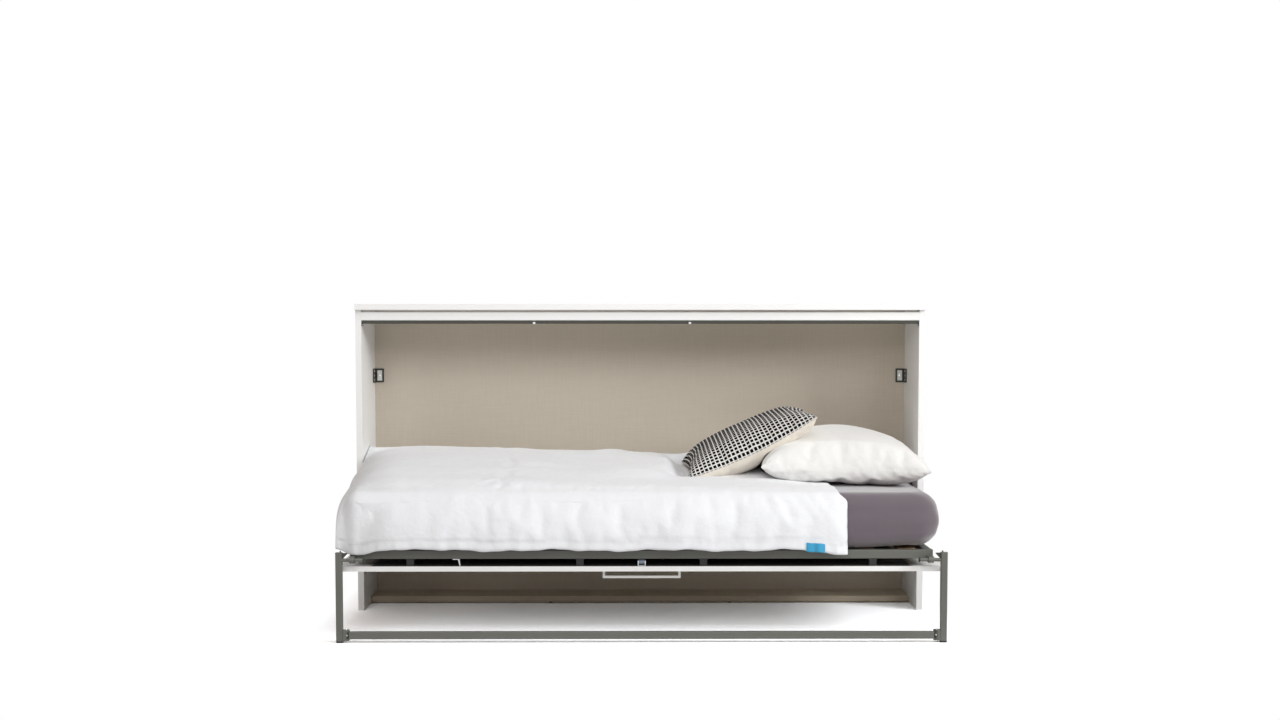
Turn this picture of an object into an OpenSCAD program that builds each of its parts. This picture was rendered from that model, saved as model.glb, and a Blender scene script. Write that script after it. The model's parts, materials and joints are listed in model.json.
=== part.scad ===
// Horizontal wall bed: a low white cabinet whose front folds down to a single bed on a bail of steel tube.
// Millimetres, Z up. The cabinet front plane is y = 0 in the working frame, the wall is towards +Y and the
// bed opens towards -Y. Every module is shifted at the end: the origin is the middle of the footprint.

/* [Cabinet] */
// Outside width of the cabinet
cab_w = 2110; // [2090:1:2200]
// Height to the top of the top panel
cab_h = 1142; // [1130:1:1220]
// Depth of the side panels
cab_d = 372; // [366:1:420]
// Thickness of the side, top and bottom boards
board_t = 22; // [18:1:25]
// How far the top panel stands out past the side panels' front edges
top_over = 20; // [0:1:30]
// Distance from the front plane to the face of the back panel
inner_d = 340; // [336:1:352]
// Thickness of the back panel
back_t = 10; // [6:1:12]
// Depth of the grooves that hold the back panel
groove_d = 8; // [4:1:12]
// Slack all round in grooves and between butted parts
slack = 0.3; // [0.2:0.1:0.5]

/* [Fascia and stiffener] */
// Height of the fascia board
fascia_h = 31; // [24:1:44]
// Thickness of the fascia board
fascia_t = 18; // [15:1:22]
// Shadow gap between fascia and top panel
fascia_gap = 7; // [3:1:12]
// Height of the steel stiffener under the fascia
stiff_h = 12; // [10:1:20]
// Depth of the steel stiffener
stiff_d = 30; // [20:1:40]
// Wall of the steel stiffener
stiff_wall = 2; // [1.5:0.5:3]
// Distance of the stiffener behind the front plane
stiff_back = 4; // [1:1:12]
// Thickness of the stiffener's end brackets
stiff_end_t = 3; // [2:0.5:4]
// How far the end brackets hang below the stiffener
stiff_end_drop = 9; // [6:1:14]
// Radius of the screws in the end brackets
stiff_screw_r = 2; // [1.5:0.5:2.5]
// Width of the two light clips on the stiffener
clip_w = 9; // [6:1:14]
// Distance of the left clip from the middle
clip_left = 394; // [200:1:700]
// Distance of the right clip from the middle
clip_right = 183; // [100:1:700]

/* [Bottom board] */
// Depth of the bottom board in front of the back panel
bottom_d = 166; // [120:1:200]
// Height of the board's feet
foot_h = 5; // [3:1:10]
// Radius of the board's feet
foot_r = 9; // [6:1:16]
// Distance of the feet from the middle
foot_x = 345; // [150:1:800]

/* [Wall brackets] */
// Height of the bracket's middle above the floor
wallb_z = 870; // [700:1:960]
// Height of the bracket
wallb_h = 54; // [44:1:70]
// Width of the bracket's wall plate
wallb_w = 35; // [30:1:50]
// Length of the flange along the side panel
wallb_flange = 62; // [50:1:90]
// Steel thickness of the bracket
wallb_t = 3; // [2:0.5:4]
// Rim round the window in the wall plate
wallb_rim = 7; // [5:0.5:9]
// Thickness of the white adjuster block in the window
pad_t = 9; // [6:1:14]
// Radius of the hole for the wall screw
wall_hole_r = 4; // [3:0.5:5]
// Radius of the three flange screws' heads
flange_head_r = 4; // [3:0.5:5]
// Pitch of the three flange screws
flange_pitch = 17; // [12:1:20]

/* [Front panel] */
// Height of the panel's outer face above the floor with the bed down
panel_z = 236; // [225:1:245]
// Thickness of the front panel
panel_t = 18; // [16:1:20]
// Gap between the panel's ends and the side panels
panel_gap = 5; // [4.5:0.5:8]
// Reach of the panel's front edge from the front plane
panel_reach = 640; // [620:1:645]
// Gap between the panel's rear edge and the back panel
panel_rear_gap = 6; // [4:1:12]

/* [Bed frame] */
// Gap between the steel frame's ends and the side panels
frame_side = 52; // [50:1:70]
// Side of the square frame tube
tube_s = 30; // [25:1:32]
// Wall of the frame tube
tube_wall = 2; // [1.5:0.5:3]
// Gap between the front panel and the frame
frame_gap = 24; // [20:1:28]
// How far the frame's front face lies behind the panel's edge
frame_inset = 4; // [0:1:10]
// Depth of the frame from front face to rear face
frame_d = 872; // [840:1:880]
// Length of the corner fittings on the frame's front rail
corner_l = 24; // [20:1:40]
// Number of cross tubes
cross_n = 3; // [2:1:5]
// Height of the cross tubes
cross_h = 16; // [14:1:17]
// Width of the black spacers between panel and frame
spacer_w = 28; // [20:1:40]
// Distance of the inner spacers from the middle
spacer_in = 208; // [150:1:400]
// Distance of the outer spacers from the middle
spacer_out = 779; // [600:1:900]

/* [Slats] */
// Number of slats
slat_n = 14; // [10:1:18]
// Width of a slat
slat_w = 60; // [40:1:70]
// Thickness of a slat
slat_t = 7.5; // [6:0.5:10]
// Rise of the slat's middle over its ends
slat_rise = 4; // [2:0.5:6]
// Wall of the slat holders
holder_t = 2; // [1.5:0.5:3]
// Length of the slat holders along the slat
holder_l = 34; // [26:1:50]
// Distance from the frame's ends to the outer slats' middles
slat_end = 81; // [60:1:120]
// How far the slats' middles stand above the frame tube
slat_above = 2; // [0.5:0.5:3]

/* [Mattress] */
// Gap between the mattress's ends and the side panels
matt_side = 32; // [31.5:0.5:60]
// Width of the mattress
matt_w = 898; // [860:1:900]
// Height of the mattress at its edges
matt_h = 189; // [160:1:194]
// Rise of the crown in the middle of the mattress
matt_crown = 7; // [0:1:10]
// How far the mattress stands out past the frame's front face
matt_over = 12; // [4:1:16]
// Radius of the mattress edges
matt_r = 38; // [20:1:50]

/* [Pivot] */
// Distance of the pivot behind the front plane
pivot_y = 66; // [62:1:68]
// Radius of the pivot pins
pin_r = 8; // [6:0.5:9]
// Radius of the pin's shoulder
shoulder_r = 12; // [11:0.5:14]
// Running clearance of pins in their bushes
run_clear = 0.05; // [0.03:0.01:0.09]
// Wall of the pivot bush
bush_t = 2; // [1.5:0.5:3]
// Thickness of the bush's flange
bush_flange = 2; // [1:0.5:2.5]
// Outer radius of the steel boss round the bush
boss_r = 14; // [13:0.5:17]
// Thickness of the steel side plate
plate_t = 3; // [2:0.5:4]
// Width of the side plate
plate_w = 112; // [100:1:120]
// Bottom edge of the side plate above the floor
plate_z = 140; // [110:1:180]
// Thickness of the hinge plate on the frame end
hinge_t = 5; // [4:0.5:6]

/* [Gas strut] */
// Top stud position behind the pivot
strut_top_y = 75; // [72:1:78]
// Top stud position above the pivot
strut_top_z = 175; // [172:1:178]
// Lower stud position behind the pivot, level with it
strut_low_y = 65; // [62:1:68]
// Radius of the strut's cylinder
strut_r = 10; // [8:0.5:11]
// Wall of the strut's cylinder
strut_wall = 1.8; // [1.2:0.1:2.5]
// Radius of the strut's rod
rod_r = 4; // [3:0.5:5]
// Length of the strut's cylinder
strut_l = 130; // [124:1:134]
// Radius of the strut's end eyes
eye_r = 9; // [8:0.5:10]
// Thickness of the strut's end eyes
eye_w = 15; // [10:1:16]
// Radius of the studs that carry the struts
stud_r = 4; // [3:0.5:5]

/* [Leg bail] */
// Side of the square leg tube
leg_s = 22; // [20:1:26]
// Wall of the leg tube
leg_wall = 2; // [1.5:0.5:3]
// How far the posts' outer faces lie inside the front panel's ends
bail_in = 4; // [0:1:5]
// Gap between the posts and the front panel's edge
post_gap = 17; // [14:1:22]
// Height of the leg pivot above the floor
leg_z = 279; // [274:1:284]
// Distance of the leg pivot in front of the post's middle
leg_offset = 3; // [0:1:5]
// How far the posts run above the leg pivot
post_up = 25; // [20:1:28]
// Height of the glides under the posts
glide_h = 6; // [4:1:10]
// Height of the crossbar's middle above the floor
bar_z = 25; // [20:1:60]
// Height of the crossbar tube
bar_h = 25; // [20:1:30]
// Radius of the leg axle
axle_r = 6; // [5:0.5:8]
// How far the axle runs in from the posts
axle_l = 70; // [60:1:90]
// Radius of the black caps on the axles
axle_cap_r = 8; // [7:0.5:9]
// Size of the stiffening plates at the tops of the posts
gusset_s = 20; // [14:1:30]
// Thickness of the stiffening plates at the tops of the posts
gusset_t = 3; // [2:0.5:4]
// Width of the corner brackets between crossbar and posts
bracket_w = 21; // [18:1:28]
// How far the corner brackets stand out past the crossbar above and below
bracket_out = 6; // [3:1:7]
// Radius of the stop buffers on the panel's edge
buffer_r = 6; // [4:0.5:8]

/* [Handle] */
// Length of the handle from leg to leg
handle_l = 256; // [160:1:400]
// Distance from the panel's front edge to the handle
handle_in = 40; // [30:1:80]
// Stand-off of the handle's bar
handle_out = 24; // [20:1:36]
// Side of the handle's square bar
handle_s = 8; // [6:0.5:10]

/* [Centre roller] */
// Radius of the centre roller
roller_r = 8; // [6:0.5:9]
// Length of the centre roller
roller_l = 20; // [14:1:30]
// Thickness of the roller's cheeks
cheek_t = 3; // [2:0.5:4]

/* [Duvet] */
// Gap between the duvet's left end and the side panel
duvet_side = 3; // [2:0.5:12]
// Length of mattress that the duvet leaves bare at the right
duvet_bare = 311; // [240:1:500]
// Thickness of the duvet where it hangs in front
duvet_hang = 41; // [30:1:44]
// Height of the duvet's crown over the mattress
duvet_crown = 104; // [60:1:120]
// Height of the hem above the floor
duvet_hem = 312; // [308:1:340]

/* [Pillow] */
// Size of the pillow along the bed
pillow_l = 586; // [450:1:600]
// Size of the pillow across the bed
pillow_w = 660; // [500:1:700]
// Height of the pillow
pillow_h = 190; // [120:1:200]
// How far the pillow's right tips stand out past the mattress
pillow_past = 1; // [-20:1:3]

/* [Cushion] */
// Side of the square cushion
cushion_s = 496; // [400:1:520]
// Thickness of the cushion
cushion_h = 150; // [100:1:160]
// Tilt of the cushion against the pillow, in degrees
cushion_tilt = 22; // [16:1:26]
// Distance of the cushion's middle from the mattress's right end
cushion_in = 615; // [601:1:660]
// Height of the cushion's middle above the floor
cushion_z = 650; // [640:1:670]

/* [Hidden] */
$fn = 48;
// Small overrun of cutters past the faces that they cut
cut = 1;
half_w = cab_w / 2;
half_in = half_w - board_t;
side_h = cab_h - board_t;
// Heights that follow from the front panel upwards
panel_top = panel_z + panel_t;
frame_z = panel_top + frame_gap;
frame_top = frame_z + tube_s;
slat_seat = frame_top + slat_above - slat_rise - slat_t;
matt_z = frame_top + slat_above + slack;
matt_top = matt_z + matt_h + matt_crown;
// The outer face of the panel turns into the front plane when the bed is up
pivot_z = panel_z + pivot_y;
// Lengths in the bed
panel_half = half_in - panel_gap;
panel_back = inner_d - panel_rear_gap;
frame_half = half_in - frame_side;
frame_l = 2 * frame_half;
slat_span = frame_l - 2 * slat_end;
matt_l = 2 * (half_in - matt_side);
frame_y = -panel_reach + frame_inset;
frame_back = frame_y + frame_d;
matt_y = frame_y - matt_over;
matt_back = matt_y + matt_w;
// Leg bail
bail_half = panel_half - bail_in;
post_in = bail_half - leg_s;
post_back = -panel_reach - post_gap;
post_y = post_back - leg_s / 2;
leg_y = post_y - leg_offset;
post_top = leg_z + post_up;
// Gas strut, both ends in the working frame with the bed down
strut_x = half_in - plate_t - slack - eye_w / 2 - 6;
top_y = pivot_y + strut_top_y;
top_z = pivot_z + strut_top_z;
low_y = pivot_y + strut_low_y;
low_z = pivot_z;
strut_len = sqrt(pow(low_y - top_y, 2) + pow(low_z - top_z, 2));
strut_ang = atan2(low_y - top_y, top_z - low_z);
// Bedding along the mattress, and the row frame
duvet_left = half_in - duvet_side;
duvet_right = matt_l / 2 - duvet_bare;
pillow_tip = matt_l / 2 + pillow_past;
cushion_x = matt_l / 2 - cushion_in;
duvet_y = matt_y - slack - duvet_hang;
y_mid = (cab_d + duvet_y) / 2;

// Shifts a piece from the working frame into the row frame
module placed() {
    translate([0, -y_mid, 0]) children();
}

// Makes the same piece at the left and the right
module both_sides() {
    children();
    mirror([1, 0, 0]) children();
}

// A box from one corner to the other
module block(low, high) {
    translate(low) cube(high - low);
}

// A round bar along X from x0 to x1
module bar_x(x0, x1, y, z, r) {
    translate([x0, y, z]) rotate([0, 90, 0]) cylinder(h = x1 - x0, r = r);
}

// A round bar along Y from y0 to y1
module bar_y(y0, y1, x, z, r) {
    translate([x, y1, z]) rotate([90, 0, 0]) cylinder(h = y1 - y0, r = r);
}

// A flat rectangle with round corners, centred
module round_rect(w, h, r) {
    square([w - 2 * r, h], center = true);
    square([w, h - 2 * r], center = true);
    for (sx = [-1, 1], sy = [-1, 1]) {
        translate([sx * (w / 2 - r), sy * (h / 2 - r)]) circle(r = r);
    }
}

// Section of a rectangular tube with round edges, centred
module tube_section(w, h, wall) {
    difference() {
        round_rect(w, h, wall * 1.5);
        square([w - 2 * wall, h - 2 * wall], center = true);
    }
}

// A rectangular tube along X, w deep in Y and h high in Z
module tube_x(x0, x1, y, z, w, h, wall) {
    translate([x0, y, z]) rotate([90, 0, 90]) linear_extrude(x1 - x0) tube_section(w, h, wall);
}

// A rectangular tube along Y, w wide in X and h high in Z
module tube_y(y0, y1, x, z, w, h, wall) {
    translate([x, y1, z]) rotate([90, 0, 0]) linear_extrude(y1 - y0) tube_section(w, h, wall);
}

// A rectangular tube along Z, w wide in X and d deep in Y
module tube_z(z0, z1, x, y, w, d, wall) {
    translate([x, y, z0]) linear_extrude(z1 - z0) tube_section(w, d, wall);
}

// Triangles that join a stack of m rings of n points into a closed skin. Each end is closed by a ladder
// from one half of its ring to the other half.
function stack_faces(m, n) = let (last = (m - 1) * n) concat(
    [for (i = [0 : m - 2], j = [0 : n - 1]) [i * n + j, i * n + (j + 1) % n, (i + 1) * n + j]],
    [for (i = [0 : m - 2], j = [0 : n - 1])
        [i * n + (j + 1) % n, (i + 1) * n + (j + 1) % n, (i + 1) * n + j]],
    [for (j = [0 : n / 2 - 2]) [j, n - 1 - j, j + 1]],
    [for (j = [0 : n / 2 - 2]) [j + 1, n - 1 - j, n - 2 - j]],
    [for (j = [0 : n / 2 - 2]) [last + j, last + j + 1, last + n - 1 - j]],
    [for (j = [0 : n / 2 - 2]) [last + j + 1, last + n - 2 - j, last + n - 1 - j]]
);
function backwards(list) = [for (k = [len(list) - 1 : -1 : 0]) list[k]];

// A closed solid through a list of rings
module ring_solid(rings) {
    polyhedron(
        points = [for (ring = rings, p = ring) p],
        faces = stack_faces(len(rings), len(rings[0])),
        convexity = 6
    );
}

// Cabinet

// Side panel at the right: groove for the back panel and hole for the pivot boss
module side_board() {
    difference() {
        block([half_in, 0, 0], [half_w, cab_d, side_h]);
        block([half_in - cut, inner_d - slack, -cut],
              [half_in + groove_d + slack, inner_d + back_t + slack, side_h + cut]);
        bar_x(half_in - cut, half_w - board_t / 5, pivot_y, pivot_z, boss_r + slack);
    }
}
module left_side() {
    color("white") placed() mirror([1, 0, 0]) side_board();
}
module right_side() {
    color("white") placed() side_board();
}

// Section of a board from y0 to y1, h high, eased along both long edges of its front
module eased_section(y0, y1, h) {
    ease = 1.5;
    polygon([
        [y0, ease], [y0 + ease, 0], [y1, 0], [y1, h], [y0 + ease, h], [y0, h - ease]
    ]);
}

// Top panel
module top_panel() {
    color("white") placed() translate([-half_w, 0, side_h]) rotate([90, 0, 90])
        linear_extrude(cab_w) eased_section(-top_over, cab_d, board_t);
}

// Linen-faced back panel in the side grooves, bored for the wall screws
module back_panel() {
    color("tan") placed() difference() {
        block([-half_in - groove_d, inner_d, 0], [half_in + groove_d, inner_d + back_t, side_h - slack]);
        both_sides() bar_y(inner_d - cut, inner_d + back_t + cut, pad_x, wallb_z, wall_hole_r);
    }
}

fascia_top = side_h - fascia_gap;
fascia_z = fascia_top - fascia_h;
stiff_z = fascia_z - stiff_h;

module fascia() {
    color("white") placed() translate([-half_in + slack, 0, fascia_z]) rotate([90, 0, 90])
        linear_extrude(2 * (half_in - slack)) eased_section(0, fascia_t, fascia_h);
}

// Flat steel tube under the fascia
module stiffener() {
    color("dimgray") placed() tube_x(-half_in + stiff_end_t, half_in - stiff_end_t,
        stiff_back + stiff_d / 2, stiff_z + stiff_h / 2, stiff_d, stiff_h, stiff_wall);
}

// Screw places on the stiffener's end bracket, as y and z
function stiff_screws() = [
    [stiff_back + stiff_d * 0.28, stiff_z - stiff_end_drop / 2],
    [stiff_back + stiff_d * 0.72, stiff_z - stiff_end_drop / 2]
];

// Two end brackets, bored for their screws
module stiffener_ends() {
    color("dimgray") placed() both_sides() difference() {
        block([half_in - stiff_end_t, stiff_back, stiff_z - stiff_end_drop],
              [half_in, stiff_back + stiff_d, stiff_z + stiff_h]);
        for (p = stiff_screws()) {
            bar_x(half_in - stiff_end_t - cut, half_in + cut, p[0], p[1], stiff_screw_r);
        }
    }
}

// Two light spring clips round the stiffener's front edge
module stiffener_clips() {
    lip = 1.5;
    color("silver") placed() for (x = [-clip_left, clip_right]) {
        difference() {
            block([x - clip_w / 2, stiff_back - lip, stiff_z - lip],
                  [x + clip_w / 2, stiff_back + stiff_d / 2, stiff_z + stiff_h / 2]);
            block([x - clip_w, stiff_back, stiff_z], [x + clip_w, stiff_back + stiff_d, stiff_z + stiff_h]);
        }
    }
}

// Low board at the foot of the back panel
module bottom_board() {
    color("burlywood") placed() block([-half_in + slack, inner_d - slack - bottom_d, foot_h],
        [half_in - slack, inner_d - slack, foot_h + board_t]);
}
module board_feet() {
    foot_y = inner_d - bottom_d + foot_r + 3;
    color("black") placed() both_sides() for (y = [foot_y, inner_d - foot_r - 3]) {
        translate([foot_x, y, 0]) cylinder(h = foot_h, r1 = foot_r * 0.8, r2 = foot_r);
    }
}

// Wall bracket: flange on the side panel, framed wall plate on the back panel
pad_x = half_in - wallb_w / 2 - wallb_t / 2;
window_w = wallb_w - wallb_t - 2 * wallb_rim;
window_h = wallb_h - 2 * wallb_rim;
flange_y = inner_d - wallb_flange * 0.62;
module wall_bracket() {
    plate_y = inner_d - slack - wallb_t;
    difference() {
        union() {
            translate([half_in - wallb_t, inner_d - slack - wallb_flange / 2, wallb_z])
                rotate([90, 0, 90]) linear_extrude(wallb_t) round_rect(wallb_flange, wallb_h, 6);
            translate([half_in - wallb_w / 2, plate_y + wallb_t, wallb_z]) rotate([90, 0, 0])
                linear_extrude(wallb_t) round_rect(wallb_w, wallb_h, 4);
        }
        translate([pad_x, plate_y - cut, wallb_z - window_h / 2]) translate([-window_w / 2, 0, 0])
            cube([window_w, wallb_t + 2 * cut, window_h]);
        for (k = [-1 : 1]) {
            bar_x(half_in - wallb_t - cut, half_in + cut, flange_y, wallb_z + k * flange_pitch, screw_r);
        }
    }
}
module wall_bracket_left() {
    color("dimgray") placed() mirror([1, 0, 0]) wall_bracket();
}
module wall_bracket_right() {
    color("dimgray") placed() wall_bracket();
}

// White adjuster blocks in the bracket windows, each bored for its wall screw
module wall_pads() {
    w = window_w - 2 * slack;
    h = window_h - 2 * slack;
    color("white") placed() both_sides() difference() {
        union() {
            block([pad_x - w / 2, inner_d - slack - pad_t, wallb_z - h / 2],
                  [pad_x + w / 2, inner_d - slack, wallb_z + h / 2]);
            for (s = [-1, 1]) {
                block([pad_x - w / 2, inner_d - slack - pad_t - 2, wallb_z + s * h / 2 - (s + 1) * 3],
                      [pad_x + w / 2, inner_d - slack - pad_t, wallb_z + s * h / 2 - (s - 1) * 3]);
            }
        }
        bar_y(inner_d - pad_t - 4 * cut, inner_d + cut, pad_x, wallb_z, wall_hole_r);
    }
}

// All the small screws of the cabinet: pan heads with shanks through the steel
screw_r = 2;
head_h = 1.6;
module screw_x(y, z, steel) {
    bar_x(half_in - steel, half_in, y, z, screw_r - run_clear);
    translate([half_in - steel, y, z]) rotate([0, -90, 0])
        cylinder(h = head_h, r1 = flange_head_r, r2 = flange_head_r * 0.7);
}
module cabinet_screws() {
    color("silver") placed() both_sides() {
        for (k = [-1 : 1]) {
            screw_x(flange_y, wallb_z + k * flange_pitch, wallb_t);
        }
        for (p = stiff_screws()) {
            screw_x(p[0], p[1], stiff_end_t);
        }
        for (p = plate_screws()) {
            screw_x(p[0], p[1], plate_t);
        }
    }
}

// Steel side plate with a boss for the pivot bush and a stud for the gas strut
plate_front = 14;
plate_mid = plate_front + plate_w / 2;
plate_neck = plate_z + (top_z - plate_z) * 0.66;
mount_r = eye_r + 12;
// Distance of the plate's screws from its edges
screw_in = 14;
function plate_screws() = [
    for (side = [-1, 1], z = [plate_z + screw_in, plate_neck])
        [plate_mid + side * (plate_w / 2 - screw_in), z]
];
module side_plate() {
    x = half_in - plate_t;
    difference() {
        union() {
            translate([x, 0, 0]) rotate([90, 0, 90]) linear_extrude(plate_t) side_outline();
            bar_x(half_in, half_in + board_t * 0.7, pivot_y, pivot_z, boss_r);
            bar_x(strut_x - eye_w / 2 - 1.5, x, top_y, top_z, stud_r);
            bar_x(strut_x + eye_w / 2 + slack, x, top_y, top_z, stud_r + 3);
        }
        bar_x(x - cut, half_in + board_t, pivot_y, pivot_z, pin_r + run_clear + bush_t);
        for (p = plate_screws()) {
            bar_x(x - cut, half_in + cut, p[0], p[1], screw_r);
        }
    }
}

// Outline of the side plate: a strip with round corners that leans back to the round mount of the strut
module side_outline() {
    r = 10;
    leaning = 0.4;
    difference() {
        union() {
            translate([plate_mid, (plate_z + plate_neck + r) / 2])
                round_rect(plate_w, plate_neck + r - plate_z, r);
            translate([top_y, top_z]) circle(r = mount_r);
            polygon([
                [top_y - mount_r, top_z], [plate_front, plate_neck], [plate_front + plate_w, plate_neck],
                [top_y + mount_r, top_z]
            ]);
        }
        translate([plate_mid + (top_y - plate_mid) * leaning, plate_neck + (top_z - plate_neck) * leaning])
            circle(r = plate_w * 0.14);
    }
}
module side_plate_left() {
    color("gray") placed() mirror([1, 0, 0]) side_plate();
}
module side_plate_right() {
    color("gray") placed() side_plate();
}

// Polymer bushes: a sleeve with a flange that faces the bed
module pivot_bushes() {
    x = half_in - plate_t;
    inner = pin_r + run_clear;
    color("black") placed() both_sides() difference() {
        union() {
            bar_x(x, half_in + board_t * 0.7, pivot_y, pivot_z, inner + bush_t);
            bar_x(x - bush_flange, x, pivot_y, pivot_z, boss_r);
        }
        bar_x(x - bush_flange - cut, half_in + board_t, pivot_y, pivot_z, inner);
    }
}

// Bed

module front_panel() {
    hx = handle_l / 2;
    hy = -panel_reach + handle_in;
    color("white") placed() difference() {
        block([-panel_half, -panel_reach, panel_z], [panel_half, panel_back, panel_top]);
        for (x = [-hx, hx]) {
            translate([x, hy, panel_z - cut]) cylinder(h = panel_t + 2 * cut, r = screw_r);
        }
    }
}

// Black spacers between the panel and the frame rails, waisted like the moulded ones
module panel_spacers() {
    waist = spacer_w * 0.86;
    color("black") placed() both_sides() for (x = [spacer_in, spacer_out]) {
        for (y = [frame_y + tube_s / 2, frame_back - tube_s / 2]) {
            translate([x, y, panel_top]) union() {
                translate([-waist / 2, -tube_s / 2, 0]) cube([waist, tube_s, frame_gap]);
                translate([-spacer_w / 2, -tube_s / 2, 0]) cube([spacer_w, tube_s, frame_gap / 6]);
                translate([-spacer_w / 2, -tube_s / 2, frame_gap * 5 / 6])
                    cube([spacer_w, tube_s, frame_gap / 6]);
            }
        }
    }
}

// Small light angle between panel and frame near the left inner spacer
angle_x = -623;
module panel_angle() {
    wing = 26;
    color("gainsboro") placed() translate([angle_x, frame_y + wing, frame_z]) rotate([90, 0, 0])
        linear_extrude(wing) polygon([
            [-wing / 2, 0], [-wing / 2, -2.5], [wing / 2 - 8, -2.5], [wing / 2 - 3, -frame_gap],
            [wing / 2, -frame_gap], [wing / 2 - 3, 0]
        ]);
}

// Bow handle under the panel: a bar between two legs, of square bar with eased edges
module handle() {
    ease = 1.2;
    hx = handle_l / 2;
    hy = -panel_reach + handle_in;
    bar_low = panel_z - handle_out;
    color("white") placed() union() {
        translate([-hx - handle_s / 2, hy, bar_low]) rotate([90, 0, 90])
            linear_extrude(handle_l + handle_s) round_rect(handle_s, handle_s, ease);
        for (x = [-hx, hx]) {
            translate([x, hy, bar_low]) linear_extrude(panel_z - bar_low)
                round_rect(handle_s, handle_s, ease);
        }
    }
}

// Rubber buffers on the panel's front edge, where the posts come to rest
module leg_buffers() {
    color("black") placed() both_sides()
        bar_y(post_back + slack, -panel_reach, bail_half - leg_s / 2, panel_z + panel_t / 2, buffer_r);
}

module front_rail() {
    color("gray") placed() tube_x(-frame_half + corner_l, frame_half - corner_l, frame_y + tube_s / 2,
        frame_z + tube_s / 2, tube_s, tube_s, tube_wall);
}
module rear_rail() {
    color("gray") placed() tube_x(-frame_half, frame_half, frame_back - tube_s / 2,
        frame_z + tube_s / 2, tube_s, tube_s, tube_wall);
}
module end_rail() {
    tube_y(frame_y + tube_s + slack, frame_back - tube_s, frame_half - tube_s / 2, frame_z + tube_s / 2,
        tube_s, tube_s, tube_wall);
}
module end_rail_left() {
    color("gray") placed() mirror([1, 0, 0]) end_rail();
}
module end_rail_right() {
    color("gray") placed() end_rail();
}
module cross_tubes() {
    step = (frame_l - 2 * tube_s) / (cross_n + 1);
    color("gray") placed() for (k = [1 : cross_n]) {
        tube_y(frame_y + tube_s, frame_back - tube_s, -frame_half + tube_s + k * step,
            frame_z + cross_h / 2, tube_s, cross_h, tube_wall);
    }
}

// Corner fittings at the ends of the front rail, each with a lug bored for the leg axle
module corner_fittings() {
    lug_r = axle_r + 5;
    x0 = frame_half - corner_l;
    color("gray") placed() both_sides() difference() {
        union() {
            block([x0, frame_y, frame_z], [frame_half, frame_y + tube_s, frame_top]);
            block([x0 + 4, leg_y, leg_z - lug_r], [frame_half - 4, frame_y, leg_z + lug_r]);
            bar_x(x0 + 4, frame_half - 4, leg_y, leg_z, lug_r);
        }
        bar_x(x0 - cut, frame_half + cut, leg_y, leg_z, axle_r + run_clear);
    }
}

// Slats

slat_y0 = frame_y + tube_s + holder_t + slack;
slat_y1 = frame_back - tube_s - holder_t - slack;
slat_len = slat_y1 - slat_y0;
// Radius of the arc that rises by slat_rise over the slat's length
arc_r = (pow(slat_len / 2, 2) + pow(slat_rise, 2)) / (2 * slat_rise);
function slat_x(k) = -slat_span / 2 + k * slat_span / (slat_n - 1);

module slat() {
    mid = (slat_y0 + slat_y1) / 2;
    translate([-slat_w / 2, mid, slat_seat + slat_rise - arc_r]) rotate([90, 0, 90])
        linear_extrude(slat_w) intersection() {
            difference() {
                circle(r = arc_r + slat_t, $fn = 1440);
                circle(r = arc_r, $fn = 1440);
            }
            translate([-slat_len / 2, arc_r - 2 * slat_rise])
                square([slat_len, slat_t + 3 * slat_rise]);
        }
}
module slats() {
    color("burlywood") placed() for (k = [0 : slat_n - 1]) {
        translate([slat_x(k), 0, 0]) slat();
    }
}

// Black holders on the rails' inner faces, each a shoe that a slat end sits in
module slat_holders() {
    w = slat_w + 2 * (holder_t + slack);
    wall_h = holder_t + slack + slat_t * 0.8;
    z = slat_seat - slack - holder_t;
    mid = (frame_y + frame_back) / 2;
    color("black") placed() for (k = [0 : slat_n - 1], side = [0, 1]) {
        translate([slat_x(k), mid, z]) mirror([0, side, 0])
            translate([0, frame_y + tube_s - mid, 0]) difference() {
                translate([-w / 2, 0, 0]) cube([w, holder_l, wall_h]);
                translate([-w / 2 + holder_t, holder_t, holder_t])
                    cube([w - 2 * holder_t, holder_l, wall_h]);
            }
    }
}

// Hinge plate on the frame end: shouldered pivot pin and the lower strut stud
module hinge_plate() {
    x = frame_half;
    around = 30;
    behind = 14;
    z_top = frame_top + 4;
    difference() {
        union() {
            block([x, pivot_y - around, frame_z], [x + hinge_t, low_y + behind, z_top]);
            bar_x(x + hinge_t, half_in - plate_t - bush_flange - slack, pivot_y, pivot_z, shoulder_r);
            bar_x(x, half_in + board_t * 0.6, pivot_y, pivot_z, pin_r);
            bar_x(x, strut_x - eye_w / 2 - slack, low_y, low_z, stud_r);
            bar_x(x + hinge_t, strut_x - eye_w / 2 - 8, low_y, low_z, stud_r + 2);
        }
        bar_x(x - cut, x + hinge_t + cut, (pivot_y + low_y) / 2, frame_z + tube_s / 2, screw_r);
    }
}
module hinge_plate_left() {
    color("gray") placed() mirror([1, 0, 0]) hinge_plate();
}
module hinge_plate_right() {
    color("gray") placed() hinge_plate();
}

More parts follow.
